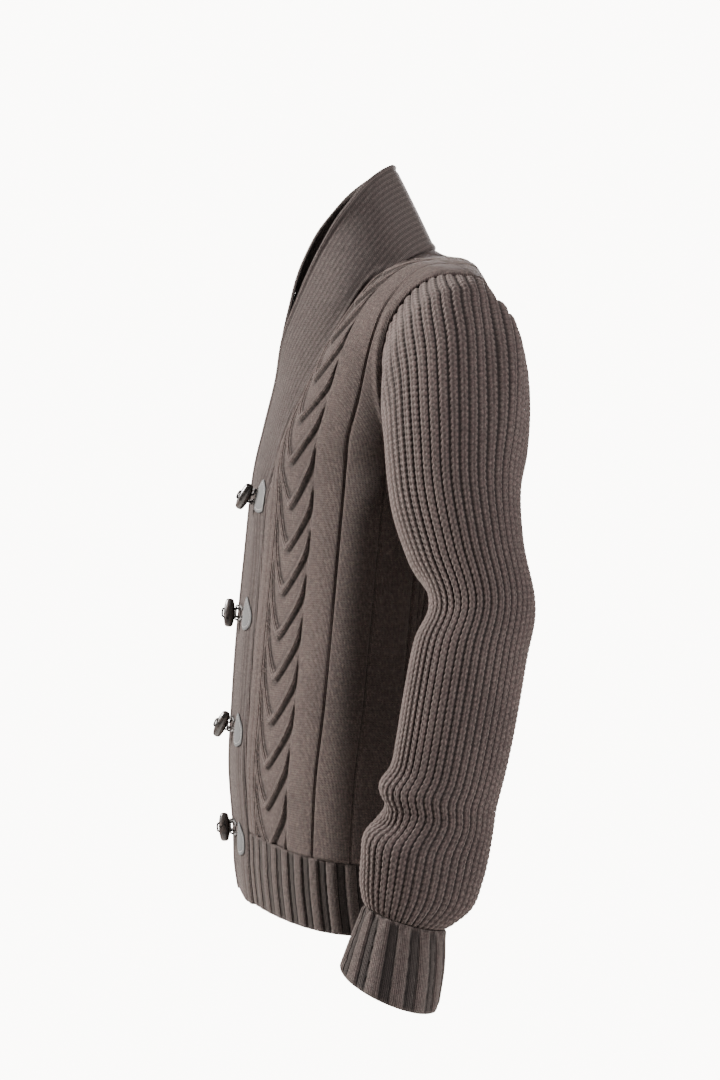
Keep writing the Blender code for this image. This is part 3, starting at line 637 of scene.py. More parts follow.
def stitch_group():
    """Stockinette: columns of V-shaped stitches. Height is the yarn's, Gap is how deep a place lies, which
    sets painted shade there.
    """
    tree, given, wanted = new_group(
        "ShaderNodeTree", "Knit Stitches",
        {"Stitches": "vector", "Rib": "float"}, {"Height": "float", "Gap": "float"},
    )
    split = tree.node("ShaderNodeSeparateXYZ", Vector=given["Stitches"])
    off_middle = tree.off_centre(tree.maths("FRACT", split["X"]), 0.5)
    lean = tree.maths("MULTIPLY_ADD", off_middle, 1.3, split["Y"])
    round_row = tree.maths("SINE", tree.maths("MULTIPLY", tree.maths("FRACT", lean), math.pi))
    across = tree.ramp(tree.off_centre(off_middle, 0.25), 0.06, 0.25, 1.0, 0.0)
    leg = tree.maths("MULTIPLY", across, tree.maths("MULTIPLY_ADD", round_row, 0.55, 0.45))
    pair = tree.maths("FRACT", tree.maths("MULTIPLY", split["X"], 0.5))
    raised = tree.ramp(tree.off_centre(pair, 0.5), 0.14, 0.36, 1.0, 0.0)
    rib = tree.maths("MULTIPLY", tree.maths("SUBTRACT", raised, 1.0), given["Rib"])
    height = tree.maths("ADD", leg, rib)
    tree.put(wanted["Height"], height)
    tree.put(wanted["Gap"], tree.ramp(height, 0.0, 0.75, 1.0, 0.0))


def yarn_group():
    """Wool: the colour of the yarn, mottled, with painted shade that darkens it in the gaps between stitches
    and in the hollows, so that the ridges stay lighter.
    """
    inputs = {"Base": "colour", "Light": "colour", "Dark": "colour"}
    inputs |= {"Gap": "float", "Hollow": "float", "Gap Strength": "float"}
    outputs = {"Color": "colour", "Fuzz": "float"}
    tree, given, wanted = new_group("ShaderNodeTree", "Wool Yarn", inputs, outputs)
    place = tree.place()
    patches = tree.noise(place, 9.0, 3.0)
    heather = tree.noise(place, 420.0, 3.0)
    tint = tree.noise(place, 230.0, 1.0)
    colour = tree.mixed(tree.ramp(patches, 0.30, 0.70, 0.0, 0.22), given["Base"], given["Light"])
    colour = tree.mixed(tree.ramp(heather, 0.46, 0.72, 0.0, 0.50), colour, given["Light"])
    colour = tree.mixed(tree.ramp(heather, 0.28, 0.48, 0.45, 0.0), colour, given["Dark"])
    warm = tree.mixed(tree.ramp(tint, 0.40, 0.62), (1.0, 0.96, 0.95, 1), (0.96, 1.0, 0.97, 1))
    colour = tree.mixed(0.9, colour, warm, "MULTIPLY")
    # Painted shade: the gaps between stitches and the hollows of the relief take the dark colour.
    gap = tree.maths("MULTIPLY", given["Gap"], given["Gap Strength"])
    colour = tree.mixed(gap, colour, given["Dark"])
    tree.put(wanted["Color"], tree.mixed(given["Hollow"], colour, given["Dark"]))
    tree.put(wanted["Fuzz"], tree.noise(place, 1600.0, 4.0))


def grain_group():
    """Leather grain: small pebbles with fine creases between them."""
    outputs = {"Height": "float", "Wear": "float"}
    tree, given, wanted = new_group("ShaderNodeTree", "Leather Grain", {"Scale": "float"}, outputs)
    place = tree.place()
    settings = {"feature": "DISTANCE_TO_EDGE"}
    cells = tree.node("ShaderNodeTexVoronoi", settings, Vector=place, Scale=given["Scale"])
    tree.put(wanted["Height"], tree.ramp(cells["Distance"], 0.0, 0.16))
    tree.put(wanted["Wear"], tree.noise(place, 160.0, 5.0))


def new_material(name, **constants):
    """A material, its tree and its shader's inputs, with the shader's constant values set."""
    material = bpy.data.materials.new(name)
    material.use_nodes = True
    shader = material.node_tree.nodes["Principled BSDF"].inputs
    for label, value in constants.items():
        shader[label.replace("_", " ")].default_value = value
    return material, Tree(material.node_tree), shader


def knit_material(name, base, light, rib, stitch_depth, gap_shade_strength):
    """Knitted wool. rib is how far every second column of stitches stands back."""
    _, tree, shader = new_material(
        name,
        Specular_IOR_Level=0.18,
        Sheen_Weight=0.12,
        Sheen_Roughness=0.55,
        Sheen_Tint=(0.62, 0.55, 0.50, 1),
    )
    stitches = tree.node("ShaderNodeUVMap", {"uv_map": "Stitches"})["UV"]
    knit = tree.group("Knit Stitches", Stitches=stitches, Rib=rib)
    yarn = tree.group(
        "Wool Yarn",
        Base=(*base, 1),
        Light=(*light, 1),
        # Dark holds both the dark fibres of the heather and the colour of the painted shade. The gap shade
        # strength sets how far the gaps between stitches are darkened.
        Dark=(base[0] * 0.10, base[1] * 0.09, base[2] * 0.09, 1),
        Gap=knit["Gap"],
        # The piece's painted shade amounts, which darken the colour.
        Hollow=tree.node("ShaderNodeAttribute", {"attribute_name": "hollow"})["Fac"],
        Gap_Strength=gap_shade_strength,
    )
    height = tree.maths("ADD", knit["Height"], tree.maths("MULTIPLY", yarn["Fuzz"], 0.45))
    tree.put(shader["Base Color"], yarn["Color"])
    tree.put(shader["Normal"], tree.bump(height, 0.9, stitch_depth))
    tree.put(shader["Roughness"], tree.ramp(yarn["Fuzz"], 0.3, 0.7, 0.86, 1.0))


def horn_material():
    material, tree, shader = new_material("Dark Horn", Coat_Weight=0.25, Coat_Roughness=0.22)
    place = tree.place()
    bands = tree.noise(place, 180.0, 6.0, 1.2)
    flecks = tree.noise(place, 900.0, 3.0)
    colour = tree.mixed(tree.ramp(bands, 0.38, 0.66), (0.005, 0.004, 0.0035, 1), (0.020, 0.013, 0.010, 1))
    colour = tree.mixed(tree.ramp(flecks, 0.62, 0.74, 0.0, 0.4), colour, (0.05, 0.038, 0.03, 1))
    tree.put(shader["Base Color"], colour)
    tree.put(shader["Roughness"], tree.ramp(bands, 0.3, 0.7, 0.26, 0.46))
    tree.put(shader["Normal"], tree.bump(flecks, 0.3, 0.0002))
    return material


def cord_material():
    material, tree, shader = new_material("Waxed Cord", Sheen_Weight=0.2)
    fibres = tree.noise(tree.place(), 1500.0, 4.0)
    colour = tree.mixed(tree.ramp(fibres, 0.35, 0.70), (0.008, 0.007, 0.007, 1), (0.040, 0.035, 0.032, 1))
    tree.put(shader["Base Color"], colour)
    tree.put(shader["Roughness"], tree.ramp(fibres, 0.3, 0.7, 0.55, 0.85))
    tree.put(shader["Normal"], tree.bump(fibres, 0.4, 0.0002))
    return material


def leather_material():
    material, tree, shader = new_material("Pale Grey Leather", Specular_IOR_Level=0.35)
    grain = tree.group("Leather Grain", Scale=900.0)
    # Painted shade: the fine creases between the pebbles are darkened in the colour.
    creases = tree.ramp(grain["Height"], 0.0, 1.0, 0.45, 0.0)
    wear = tree.ramp(grain["Wear"], 0.35, 0.65)
    colour = tree.mixed(wear, (0.032, 0.033, 0.033, 1), (0.052, 0.054, 0.054, 1))
    tree.put(shader["Base Color"], tree.mixed(creases, colour, (0.020, 0.020, 0.020, 1)))
    tree.put(shader["Roughness"], tree.ramp(grain["Wear"], 0.3, 0.7, 0.62, 0.82))
    tree.put(shader["Normal"], tree.bump(grain["Height"], 0.5, 0.0003))
    return material


def thread_material():
    material, tree, shader = new_material("Grey Thread", Sheen_Weight=0.2)
    plies = tree.noise(tree.place(), 2200.0, 2.0)
    colour = tree.mixed(tree.ramp(plies, 0.35, 0.65), (0.10, 0.095, 0.09, 1), (0.24, 0.23, 0.22, 1))
    tree.put(shader["Base Color"], colour)
    tree.put(shader["Roughness"], tree.ramp(plies, 0.3, 0.7, 0.6, 0.85))
    return material


def paper_material(colour):
    """Pale paper for the floor, which fades out with distance so that it shows no edge."""
    material, tree, shader = new_material("Pale Paper", Specular_IOR_Level=0.1)
    place = tree.place()
    mottle = tree.noise(place, 3.0, 4.0)
    duller = [share * 0.96 for share in colour]
    tree.put(shader["Base Color"], tree.mixed(tree.ramp(mottle, 0.3, 0.7), (*colour, 1), (*duller, 1)))
    tree.put(shader["Roughness"], tree.ramp(mottle, 0.3, 0.7, 0.80, 0.90))
    tree.put(shader["Alpha"], tree.ramp(tree.length(place), 1.2, 3.6, 1.0, 0.0))
    return material


# ---------------------------------------------------------------------------------------------
# Geometry Nodes groups, each baked into its piece's mesh

def shaping_group(name, **inputs):
    """A group that changes a mesh. inputs are its own, by name, with _ for spaces."""
    named = {label.replace("_", " "): sort for label, sort in inputs.items()}
    shape = {"Geometry": "geometry"}
    return new_group("GeometryNodeTree", name, {**shape, **named, "Material": "material"}, shape)


def finish_group(tree, given, wanted, geometry):
    """The last steps: real geometry that carries its material."""
    real = tree.node("GeometryNodeRealizeInstances", Geometry=geometry)["Geometry"]
    done = tree.node("GeometryNodeSetMaterial", Geometry=real, Material=given["Material"])["Geometry"]
    tree.put(wanted["Geometry"], done)
    return tree.tree


def baked(made, group, **values):
    """Runs a Geometry Nodes group on an object and keeps what it makes as the object's own mesh."""
    modifier = made.modifiers.new(group.name, "NODES")
    modifier.node_group = group
    for item in group.interface.items_tree:
        if item.item_type == "SOCKET" and item.in_out == "INPUT" and item.name != "Geometry":
            modifier[item.identifier] = values[item.name.replace(" ", "_")]
    bpy.context.view_layer.update()
    seen = made.evaluated_get(bpy.context.evaluated_depsgraph_get())
    mesh = bpy.data.meshes.new_from_object(seen)
    made.modifiers.remove(modifier)
    made.data = mesh
    return made


def ribbing_group():
    """Wide ribs: it moves each point along its "out" by the profile of the rib that its "ribs" count
    falls in.
    A rib is a rounded band with a dark groove on one edge, then a lower band. The dark of the groove and of
    the lower band is painted shade."""
    tree, given, wanted = shaping_group("Ribbing", Height="float", Raised_Share="float")
    raised = given["Raised Share"]
    place = tree.maths("FRACT", tree.attribute("ribs"))
    in_rib = tree.maths("LESS_THAN", place, raised)
    off = tree.maths("MULTIPLY_ADD", tree.maths("DIVIDE", place, raised), 2.0, -1.0)
    fall = tree.maths("POWER", tree.maths("ABSOLUTE", off), 3.0)
    dome = tree.maths("SQRT", tree.maths("MAXIMUM", tree.maths("SUBTRACT", 1.0, fall), 0.0))
    past = tree.maths("DIVIDE", tree.maths("SUBTRACT", place, raised), tree.maths("SUBTRACT", 1.0, raised))
    low_off = tree.maths("ABSOLUTE", tree.maths("MULTIPLY_ADD", past, 2.0, -1.0))
    low_dome = tree.maths("SUBTRACT", 1.0, tree.maths("POWER", low_off, 4.0))
    in_gap = tree.maths("SUBTRACT", 1.0, in_rib)
    low_band = tree.maths("MULTIPLY", tree.maths("MULTIPLY", low_dome, 0.42), in_gap)
    height = tree.maths("ADD", tree.maths("MULTIPLY", dome, in_rib), low_band)
    lift = tree.maths("MULTIPLY", tree.maths("SUBTRACT", height, 0.75), given["Height"])
    out = tree.attribute("out", "FLOAT_VECTOR")
    move = tree.scaled(out, lift)
    moved = tree.node("GeometryNodeSetPosition", Geometry=given["Geometry"], Offset=move)["Geometry"]
    # Painted shade: darker where the rib's profile is low, fading with the out vector towards the ends.
    deep = tree.maths("MULTIPLY", tree.ramp(height, 0.30, 0.75, 1.0, 0.0), tree.length(out))
    settings = {"data_type": "FLOAT"}
    kept = tree.node("GeometryNodeStoreNamedAttribute", settings, Geometry=moved, Name="hollow", Value=deep)
    return finish_group(tree, given, wanted, kept["Geometry"])


def cord_group():
    """A laid cord: strands that twist round the line it is given."""
    tree, given, wanted = shaping_group("Laid Cord", Strands="int", Radius="float", Turn_Length="float")
    line = tree.node("GeometryNodeMeshToCurve", Mesh=given["Geometry"])["Curve"]
    line = tree.node("GeometryNodeResampleCurve", {"mode": "LENGTH"}, Curve=line, Length=0.0005)["Curve"]
    settings = {"domain": "SPLINE"}
    copies = tree.node("GeometryNodeDuplicateElements", settings, Geometry=line, Amount=given["Strands"])
    turned = tree.maths("DIVIDE", tree.node("GeometryNodeSplineParameter")["Length"], given["Turn Length"])
    first = tree.maths("DIVIDE", copies["Duplicate Index"], given["Strands"])
    angle = tree.maths("MULTIPLY", tree.maths("ADD", turned, first), 2 * math.pi)
    side = tree.node("GeometryNodeInputNormal")["Normal"]
    other = tree.vector("CROSS_PRODUCT", tree.node("GeometryNodeInputTangent")["Tangent"], side)
    sideways = tree.scaled(side, tree.maths("COSINE", angle))
    away = tree.vector("ADD", sideways, tree.scaled(other, tree.maths("SINE", angle)))
    away = tree.scaled(away, tree.maths("MULTIPLY", given["Radius"], 0.50))
    strands = tree.node("GeometryNodeSetPosition", Geometry=copies["Geometry"], Offset=away)["Geometry"]
    thick = tree.maths("MULTIPLY", given["Radius"], 0.60)
    ring = tree.node("GeometryNodeCurvePrimitiveCircle", Resolution=7, Radius=thick)["Curve"]
    mesh = tree.node("GeometryNodeCurveToMesh", Curve=strands, Profile_Curve=ring, Fill_Caps=True)["Mesh"]
    smooth = tree.node("GeometryNodeSetShadeSmooth", Geometry=mesh)["Geometry"]
    return finish_group(tree, given, wanted, smooth)


def stitching_group():
    """Hand stitches: short rounded threads, end to end with small gaps, along the line it is given."""
    tree, given, wanted = shaping_group("Hand Stitching", Count="int", Length="float", Radius="float")
    line = tree.node("GeometryNodeMeshToCurve", Mesh=given["Geometry"])["Curve"]
    points = tree.node("GeometryNodeCurveToPoints", {"mode": "COUNT"}, Curve=line, Count=given["Count"])
    thread = tree.node("GeometryNodeMeshUVSphere", Segments=8, Rings=6, Radius=1.0)["Mesh"]
    thick, half_long = given["Radius"], tree.maths("MULTIPLY", given["Length"], 0.5)
    size = tree.node("ShaderNodeCombineXYZ", X=thick, Y=thick, Z=half_long)["Vector"]
    along = points["Tangent"]
    facing = tree.node("FunctionNodeAlignRotationToVector", {"axis": "Z"}, Vector=along)["Rotation"]
    spread = {"Points": points["Points"], "Instance": thread, "Rotation": facing, "Scale": size}
    laid = tree.node("GeometryNodeInstanceOnPoints", **spread)
    return finish_group(tree, given, wanted, laid["Instances"])


# ---------------------------------------------------------------------------------------------
# Cloth pieces

def front_place(row_count, column_count):
    """Grid of the left front down to the hem, its place in knots, and how far each point lies from the seam
    and from the main groove."""
    knots = front_knots(column_count)
    places = even_places(knots, 0, HEM_ROW, row_count)
    grid = spline(knots, places)
    from_seam = lengths_along(grid.transpose(1, 0, 2)).T
    across = from_seam - spline(np.array(MAIN_GROOVE)[:, None], places)
    return places, grid, from_seam, across


def front_relief(grid, across):
    """Cable, grooves and swells of the front, its count of stitches, and the painted shadow in the dark gaps
    of the cable.
    """
    along = lengths_along(grid)
    middle = int(grid.shape[1] * 0.3)
    up = (along[-1, middle] - along[:, middle])[:, None] + np.zeros(across.shape)
    beside = across - CABLE_MIDDLE
    in_cable = smooth_step(-np.abs(beside), -0.0315, -0.0285)
    relief = stripes(across, GROOVES)
    relief += panels_between(across, (-0.0355, 0.0, 0.039, 0.078, 0.117), SWELL)
    relief += panels_between(across, (-0.1225, -0.1090, -0.0985), SWELL)
    strands, beside_strand, gap = braid(beside, LOWEST_V_UP - up)
    relief = relief * (1 - in_cable) + (strands + stripes(across, [BESIDE_CABLE])) * in_cable
    on_strand = (in_cable > 0.5) & (beside_strand < STRAND_RIGHT)
    wales = np.where(on_strand, beside_strand, across) / STITCH_WIDE
    return relief, np.stack([wales, up / STITCH_TALL], axis=2), in_cable * gap


class CARDIGAN_OT_fronts(bpy.types.Operator):
    """Knit the two fronts: a cable beside the band, then wide panels between purl grooves"""

    bl_idname = "cardigan.fronts"
    bl_label = "Fronts"

    def execute(self, context):
        sizes = context.scene.cardigan_sizes
        rows, columns = 236, 224
        places, grid, from_seam, across = front_place(rows, columns)
        to_side = from_seam[:, -1:] - from_seam
        relief, stitches, gap = front_relief(grid, across)
        at_armhole = smooth_step(places, UNDERARM_ROW + 0.3, UNDERARM_ROW - 0.3)[:, None]
        relief += 0.0016 * at_armhole * bell(to_side, 0.006, 0.006)
        relief += edge_fall(rows, columns, 0.006, 0.006, 0.006, 0.008, 0.0012)
        relief *= sizes.relief
        # Painted shade in the recesses of the relief, and painted shadow in the cable's gaps under its
        # strands.
        hollow = np.maximum(0.9 * cavity(relief, 3, 0.0022), 0.8 * gap)
        outer = grid + normals(grid) * relief[..., None]
        inner = grid - normals(grid) * BODY_WALL
        wool = bpy.data.materials["Body Knit"]
        for side, layers in both_sides(outer, inner, stitches, hollow):
            made = shell(f"front_{side}_knit", *layers)
            hand_over(made, wool, "body_knit", f"front_{side}")
            declare_sheet(grid)
        return {"FINISHED"}


class CARDIGAN_OT_back(bpy.types.Operator):
    """Knit the back: plain wide panels between purl grooves"""

    bl_idname = "cardigan.back"
    bl_label = "Back"

    def execute(self, context):
        sizes = context.scene.cardigan_sizes
        rows, half = 186, 116
        knots = back_knots(half)
        front = front_knots(8)
        knots[UNDERARM_ROW + 1 :, -1] = front[UNDERARM_ROW + 1 :, -1]
        places = even_places(knots, 0, HEM_ROW, rows)
        grid = spline(knots, places)
        grid[0] += (grid[0] - grid[1]) * 0.3
        grid = np.concatenate([mirrored(grid), grid[:, 1:]], axis=1)[:, ::-1]
        from_side = lengths_along(grid.transpose(1, 0, 2)).T
        across = from_side - from_side[:, half - 1 : half]
        along = lengths_along(grid)
        up = (along[-1, half] - along[:, half])[:, None] + np.zeros(across.shape)
        lines = [BACK_PANEL * (n + 0.5) for n in range(-5, 5)]
        relief = stripes(across, [(line, 0.0018, 0.0014) for line in lines])
        relief += panels_between(across, lines, SWELL)
        relief += edge_fall(rows, grid.shape[1], 0.007, 0.007, 0.006, 0.006, 0.0012)
        relief *= sizes.relief
        # Painted shade in the recesses of the relief.
        hollow = 0.9 * cavity(relief, 2, 0.0022)
        stitches = np.stack([across / STITCH_WIDE, up / STITCH_TALL], axis=2)
        outward = normals(grid)
        outer, inner = grid + outward * relief[..., None], grid - outward * BODY_WALL
        made = shell("back_knit", outer, inner, stitches, hollow)
        hand_over(made, bpy.data.materials["Body Knit"], "body_knit", "back")
        declare_sheet(grid)
        return {"FINISHED"}


STITCH_POINTS = 3
RIB_POINTS = 6
# Soft folds of the sleeve: where a fold starts and ends (turn round the arm, share of the way down), how wide
# it is in the same shares, and how high it stands
Fold = namedtuple("Fold", "turn_a down_a turn_b down_b wide high")
SLEEVE_FOLDS = [
    Fold(0.875, 0.02, 0.905, 0.30, 0.040, 0.0060),
    Fold(0.930, 0.03, 0.965, 0.26, 0.030, -0.0045),
    Fold(0.10, 0.845, 0.27, 0.800, 0.030, 0.0045),
    Fold(0.08, 0.875, 0.28, 0.842, 0.022, -0.0060),
    Fold(0.06, 0.915, 0.27, 0.885, 0.030, 0.0040),
    Fold(0.90, 0.880, 1.02, 0.905, 0.030, -0.0030),
    Fold(0.20, 0.470, 0.36, 0.430, 0.030, -0.0035),
    Fold(0.62, 0.500, 0.86, 0.470, 0.050, 0.0030),
]


def fold_relief(turns, down, folds):
    """Height of soft folds on a tube: each is a ridge or a trough along a line that dies out at its ends."""
    relief = np.zeros(np.broadcast(turns, down).shape)
    for fold in folds:
        step = (fold.turn_b - fold.turn_a, fold.down_b - fold.down_a)
        size = step[0] ** 2 + step[1] ** 2
        for shift in (-1, 0, 1):
            off_turn, off_down = turns + shift - fold.turn_a, down - fold.down_a
            along = np.clip((off_turn * step[0] + off_down * step[1]) / size, 0, 1)
            gap = np.hypot(off_turn - along * step[0], off_down - along * step[1])
            relief += fold.high * np.exp(-((gap / fold.wide) ** 2)) * (0.35 + 0.65 * np.sin(along * math.pi))
    return relief


def chain_relief(rib, stitch):
    """Fisherman's rib: chains of plump V stitches with a dark gap between two chains."""
    off = np.abs(rib - np.floor(rib) - 0.5) * 2
    plump = np.abs(np.sin(math.pi * (stitch + 0.50 * off)))
    edge = 0.70 + 0.20 * plump
    chain = np.clip(1 - (off / edge) ** 3, 0, 1)
    middle = 0.22 * np.exp(-((off / 0.18) ** 2)) * (1 - np.abs(np.sin(math.pi * stitch)))
    return chain * (0.60 + 0.40 * plump**0.7) - middle


def sleeve_grid(ribs, stitch_rows):
    """The left sleeve from the armhole to the cuff, with the count of ribs and stitches at each point."""
    columns, rows = ribs * RIB_POINTS, stitch_rows * STITCH_POINTS + 1
    unrolled = -np.arange(columns) / columns
    turns = unrolled % 1.0
    knots = np.array([armhole(turns)] + [arm_ring(ring, turns) for ring in SLEEVE])
    fine = np.linspace(0, len(SLEEVE), 20 * len(SLEEVE))
    along = lengths_along(spline(knots, fine))
    places = np.empty((rows, columns))
    for column in range(columns):
        wanted = np.linspace(0, along[-1, column], rows)
        places[:, column] = np.interp(wanted, along[:, column], fine)
    grid = spline(knots, places)
    cap = SLEEVE[0]
    outer, inner = np.array([cap.outer_x, cap.outer_z]), np.array([cap.inner_x, cap.inner_z])
    middle = (outer + inner) / 2
    up_arm = (outer - inner) / 2
    off = knots[0][:, [0, 2]] - middle
    out_share = off @ up_arm / (up_arm @ up_arm)
    front_share = (knots[0][:, 1] - (cap.front_y + cap.back_y) / 2) / ((cap.front_y - cap.back_y) / 2)
    front_share *= 1 + 0.14 * (front_share > 0)
    front_share = np.clip(front_share, -0.995, 0.995)
    out_share = np.sqrt(1 - front_share**2) * np.clip(out_share / 0.4, -1, 1)
    at_seam = np.arctan2(front_share, out_share) / (2 * math.pi)
    shift = (at_seam - turns + 0.5) % 1.0 - 0.5
    kept = np.clip(1 - places, 0, 1)
    rib = (unrolled + shift * kept) * ribs
    stitch = np.linspace(stitch_rows, 0, rows)[:, None] + np.zeros((rows, columns))
    return grid, turns, rib, stitch


class CARDIGAN_OT_sleeves(bpy.types.Operator):
    """Knit the two sleeves in chunky fisherman's rib, with their folds"""

    bl_idname = "cardigan.sleeves"
    bl_label = "Sleeves"

    def execute(self, context):
        sizes = context.scene.cardigan_sizes
        grid, turns, rib, stitch = sleeve_grid(sizes.sleeve_ribs, sizes.sleeve_rows)
        rows, columns = grid.shape[:2]
        share = np.linspace(0, 1, rows)[:, None]
        folds = fold_relief(turns[None, :], share, SLEEVE_FOLDS)
        folds *= smooth_step(share, 0, 0.03) * smooth_step(1 - share, 0, 0.03)
        chain = chain_relief(rib, stitch)
        knit = sizes.rib_height * (chain - 0.62)
        knit += edge_fall(rows, columns, 0.010, 0.010, 0, 0, 0.0016)
        soft = grid + normals(grid, closed=True) * folds[..., None]
        outward = normals(soft, closed=True)
        outer = soft + outward * knit[..., None]
        inner = soft - outward * SLEEVE_WALL
        # Painted shade in the gaps between the chains of stitches, where the chain's height is low.
        hollow = np.clip(1.0 - chain / 0.42, 0, 1) ** 1.2
        stitches = all_round(rib, stitch, sizes.sleeve_ribs)
        wool = bpy.data.materials["Sleeve Knit"]
        for side, layers in both_sides(outer, inner, stitches, hollow):
            made = shell(f"sleeve_{side}_knit", *layers, closed=True, row_step=9)
            hand_over(made, wool, "sleeve_knit", f"upper_sleeve_{side}", f"lower_sleeve_{side}")
            declare_sheet(grid, closed=True)
        return {"FINISHED"}


class CARDIGAN_OT_collar(bpy.types.Operator):
    """Knit the shawl collar and front bands, in two halves that meet at the centre back"""

    bl_idname = "cardigan.collar"
    bl_label = "Collar and bands"

    def execute(self, context):
        sizes = context.scene.cardigan_sizes
        rows, columns = 380, 72
        for side, lift in (("left", 1), ("right", 0)):
            knots = collar_knots(columns, lift)
            places = even_places(knots, 0, len(knots) - 1, rows)
            grid = spline(knots, places)[:, ::-1]
            to_edge = lengths_along(grid.transpose(1, 0, 2)).T
            from_seam = to_edge[:, -1:] - to_edge
            along = lengths_along(grid)
            down = along[:, :1] + np.zeros(from_seam.shape)
            relief = 0.0013 * bell(to_edge, 0.0022, 0.0026) - 0.0008 * bell(to_edge, 0.0062, 0.0028)
            relief += 0.0014 * bell(from_seam, 0.0050, 0.0050) - 0.0014 * bell(from_seam, 0.0, 0.0022)
            ends = np.minimum(along, along[-1:] - along)
            relief -= 0.0006 * bell(ends, 0.0, 0.0030)
            relief *= sizes.relief
            # Painted shade in the recesses of the relief.
            hollow = 0.8 * cavity(relief, 2, 0.0020)
            stitches = np.stack([to_edge / STITCH_WIDE, down / STITCH_TALL], axis=2)
            outward = normals(grid)
            outward[0] = unit(outward[0] * (0, 1, 1))
            outer, inner = grid + outward * relief[..., None], grid - outward * COLLAR_WALL
            if side == "right":
                outer, inner = mirrored(outer), mirrored(inner)
                stitches, hollow = stitches[:, ::-1], hollow[:, ::-1]
            made = shell(f"collar_{side}_knit", outer, inner, stitches, hollow)
            hand_over(made, bpy.data.materials["Collar Knit"], "collar_knit", f"collar_{side}")
            declare_sheet(grid)
        return {"FINISHED"}


def line_object(name, points, closed=False):
    """An object that is only a line of points."""
    count = len(points)
    edges = [(i, (i + 1) % count) for i in range(count if closed else count - 1)]
    return new_object(name, [tuple(p) for p in points], [], edges)


# ---------------------------------------------------------------------------------------------
# Ribbed hems and cuffs

RIB_STITCHES = 7.0
RAISED_SHARE = 0.60


def ribbed(name, outer, inner, ribs, out, rows_up, group, material, height, ribs_round=0):
    """A shell whose outer face carries ribs, counted at each of its points. A cuff has ribs_round of them."""
    if ribs_round:
        stitches = all_round(ribs * RIB_STITCHES, rows_up, ribs_round * RIB_STITCHES)
    else:
        stitches = np.stack([ribs * RIB_STITCHES, rows_up], axis=2)
    made = shell(name, outer, inner, stitches, np.zeros(ribs.shape), closed=bool(ribs_round), row_step=4)
    inner_count = len(made.data.vertices) - ribs.size
    store(made, "ribs", "FLOAT", "value", np.concatenate([ribs.ravel(), np.zeros(inner_count)]))
    ways = np.concatenate([out.reshape(-1, 3), np.zeros((inner_count, 3))])
    store(made, "out", "FLOAT_VECTOR", "vector", ways)
    return baked(made, group, Height=height, Raised_Share=RAISED_SHARE, Material=material)


class CARDIGAN_OT_hems(bpy.types.Operator):
    """Knit the ribbed hem: two fronts and the back"""

    bl_idname = "cardigan.hems"
    bl_label = "Ribbed hem"

    def execute(self, context):
        sizes = context.scene.cardigan_sizes
        group = bpy.data.node_groups["Ribbing"]
        wool = bpy.data.materials["Rib Knit"]
        front, half_back = front_knots(260), back_knots(250)
        half_back[UNDERARM_ROW + 1 :, -1] = front[UNDERARM_ROW + 1 :, -1]
        whole = np.concatenate([mirrored(half_back), half_back[:, 1:]], axis=1)[:, ::-1]
        for name, knots in (("front", front), ("back", whole)):
            places = even_places(knots, HEM_ROW, LAST_ROW, 44)
            grid = spline(knots, places)
            rows, columns = grid.shape[:2]
            along = lengths_along(grid)
            across = lengths_along(grid.transpose(1, 0, 2)).T
            if name == "back":
                across = across - across[:, columns // 2 : columns // 2 + 1]
            top = np.linspace(0, 1, rows)[:, None]
            ribs = across / sizes.hem_rib + 0.10 * (1 - top) + 20
            up = (along[-1:] - along) / STITCH_TALL
            ends = np.minimum(np.arange(rows), np.arange(rows)[::-1])[:, None] / rows
            fade = smooth_step(ends, -0.02, 0.055)
            out = normals(grid) * fade[..., None]
            outer = grid - normals(grid) * (0.0012 * (1 - fade))[..., None]
            inner = grid - normals(grid) * BODY_WALL
            sides = [("back", (outer, inner, ribs, out, up))]
            if name == "front":
                flipped = (mirrored(outer), mirrored(inner), ribs[:, ::-1], mirrored(out), up[:, ::-1])
                sides = [("front_left", (outer, inner, ribs, out, up)), ("front_right", flipped)]
            for piece, layers in sides:
                made = ribbed(f"hem_{piece}_knit", *layers, group, wool, sizes.hem_height)
                hand_over(made, wool, "rib_knit", f"hem_{piece}")
                declare_sheet(grid)
        return {"FINISHED"}


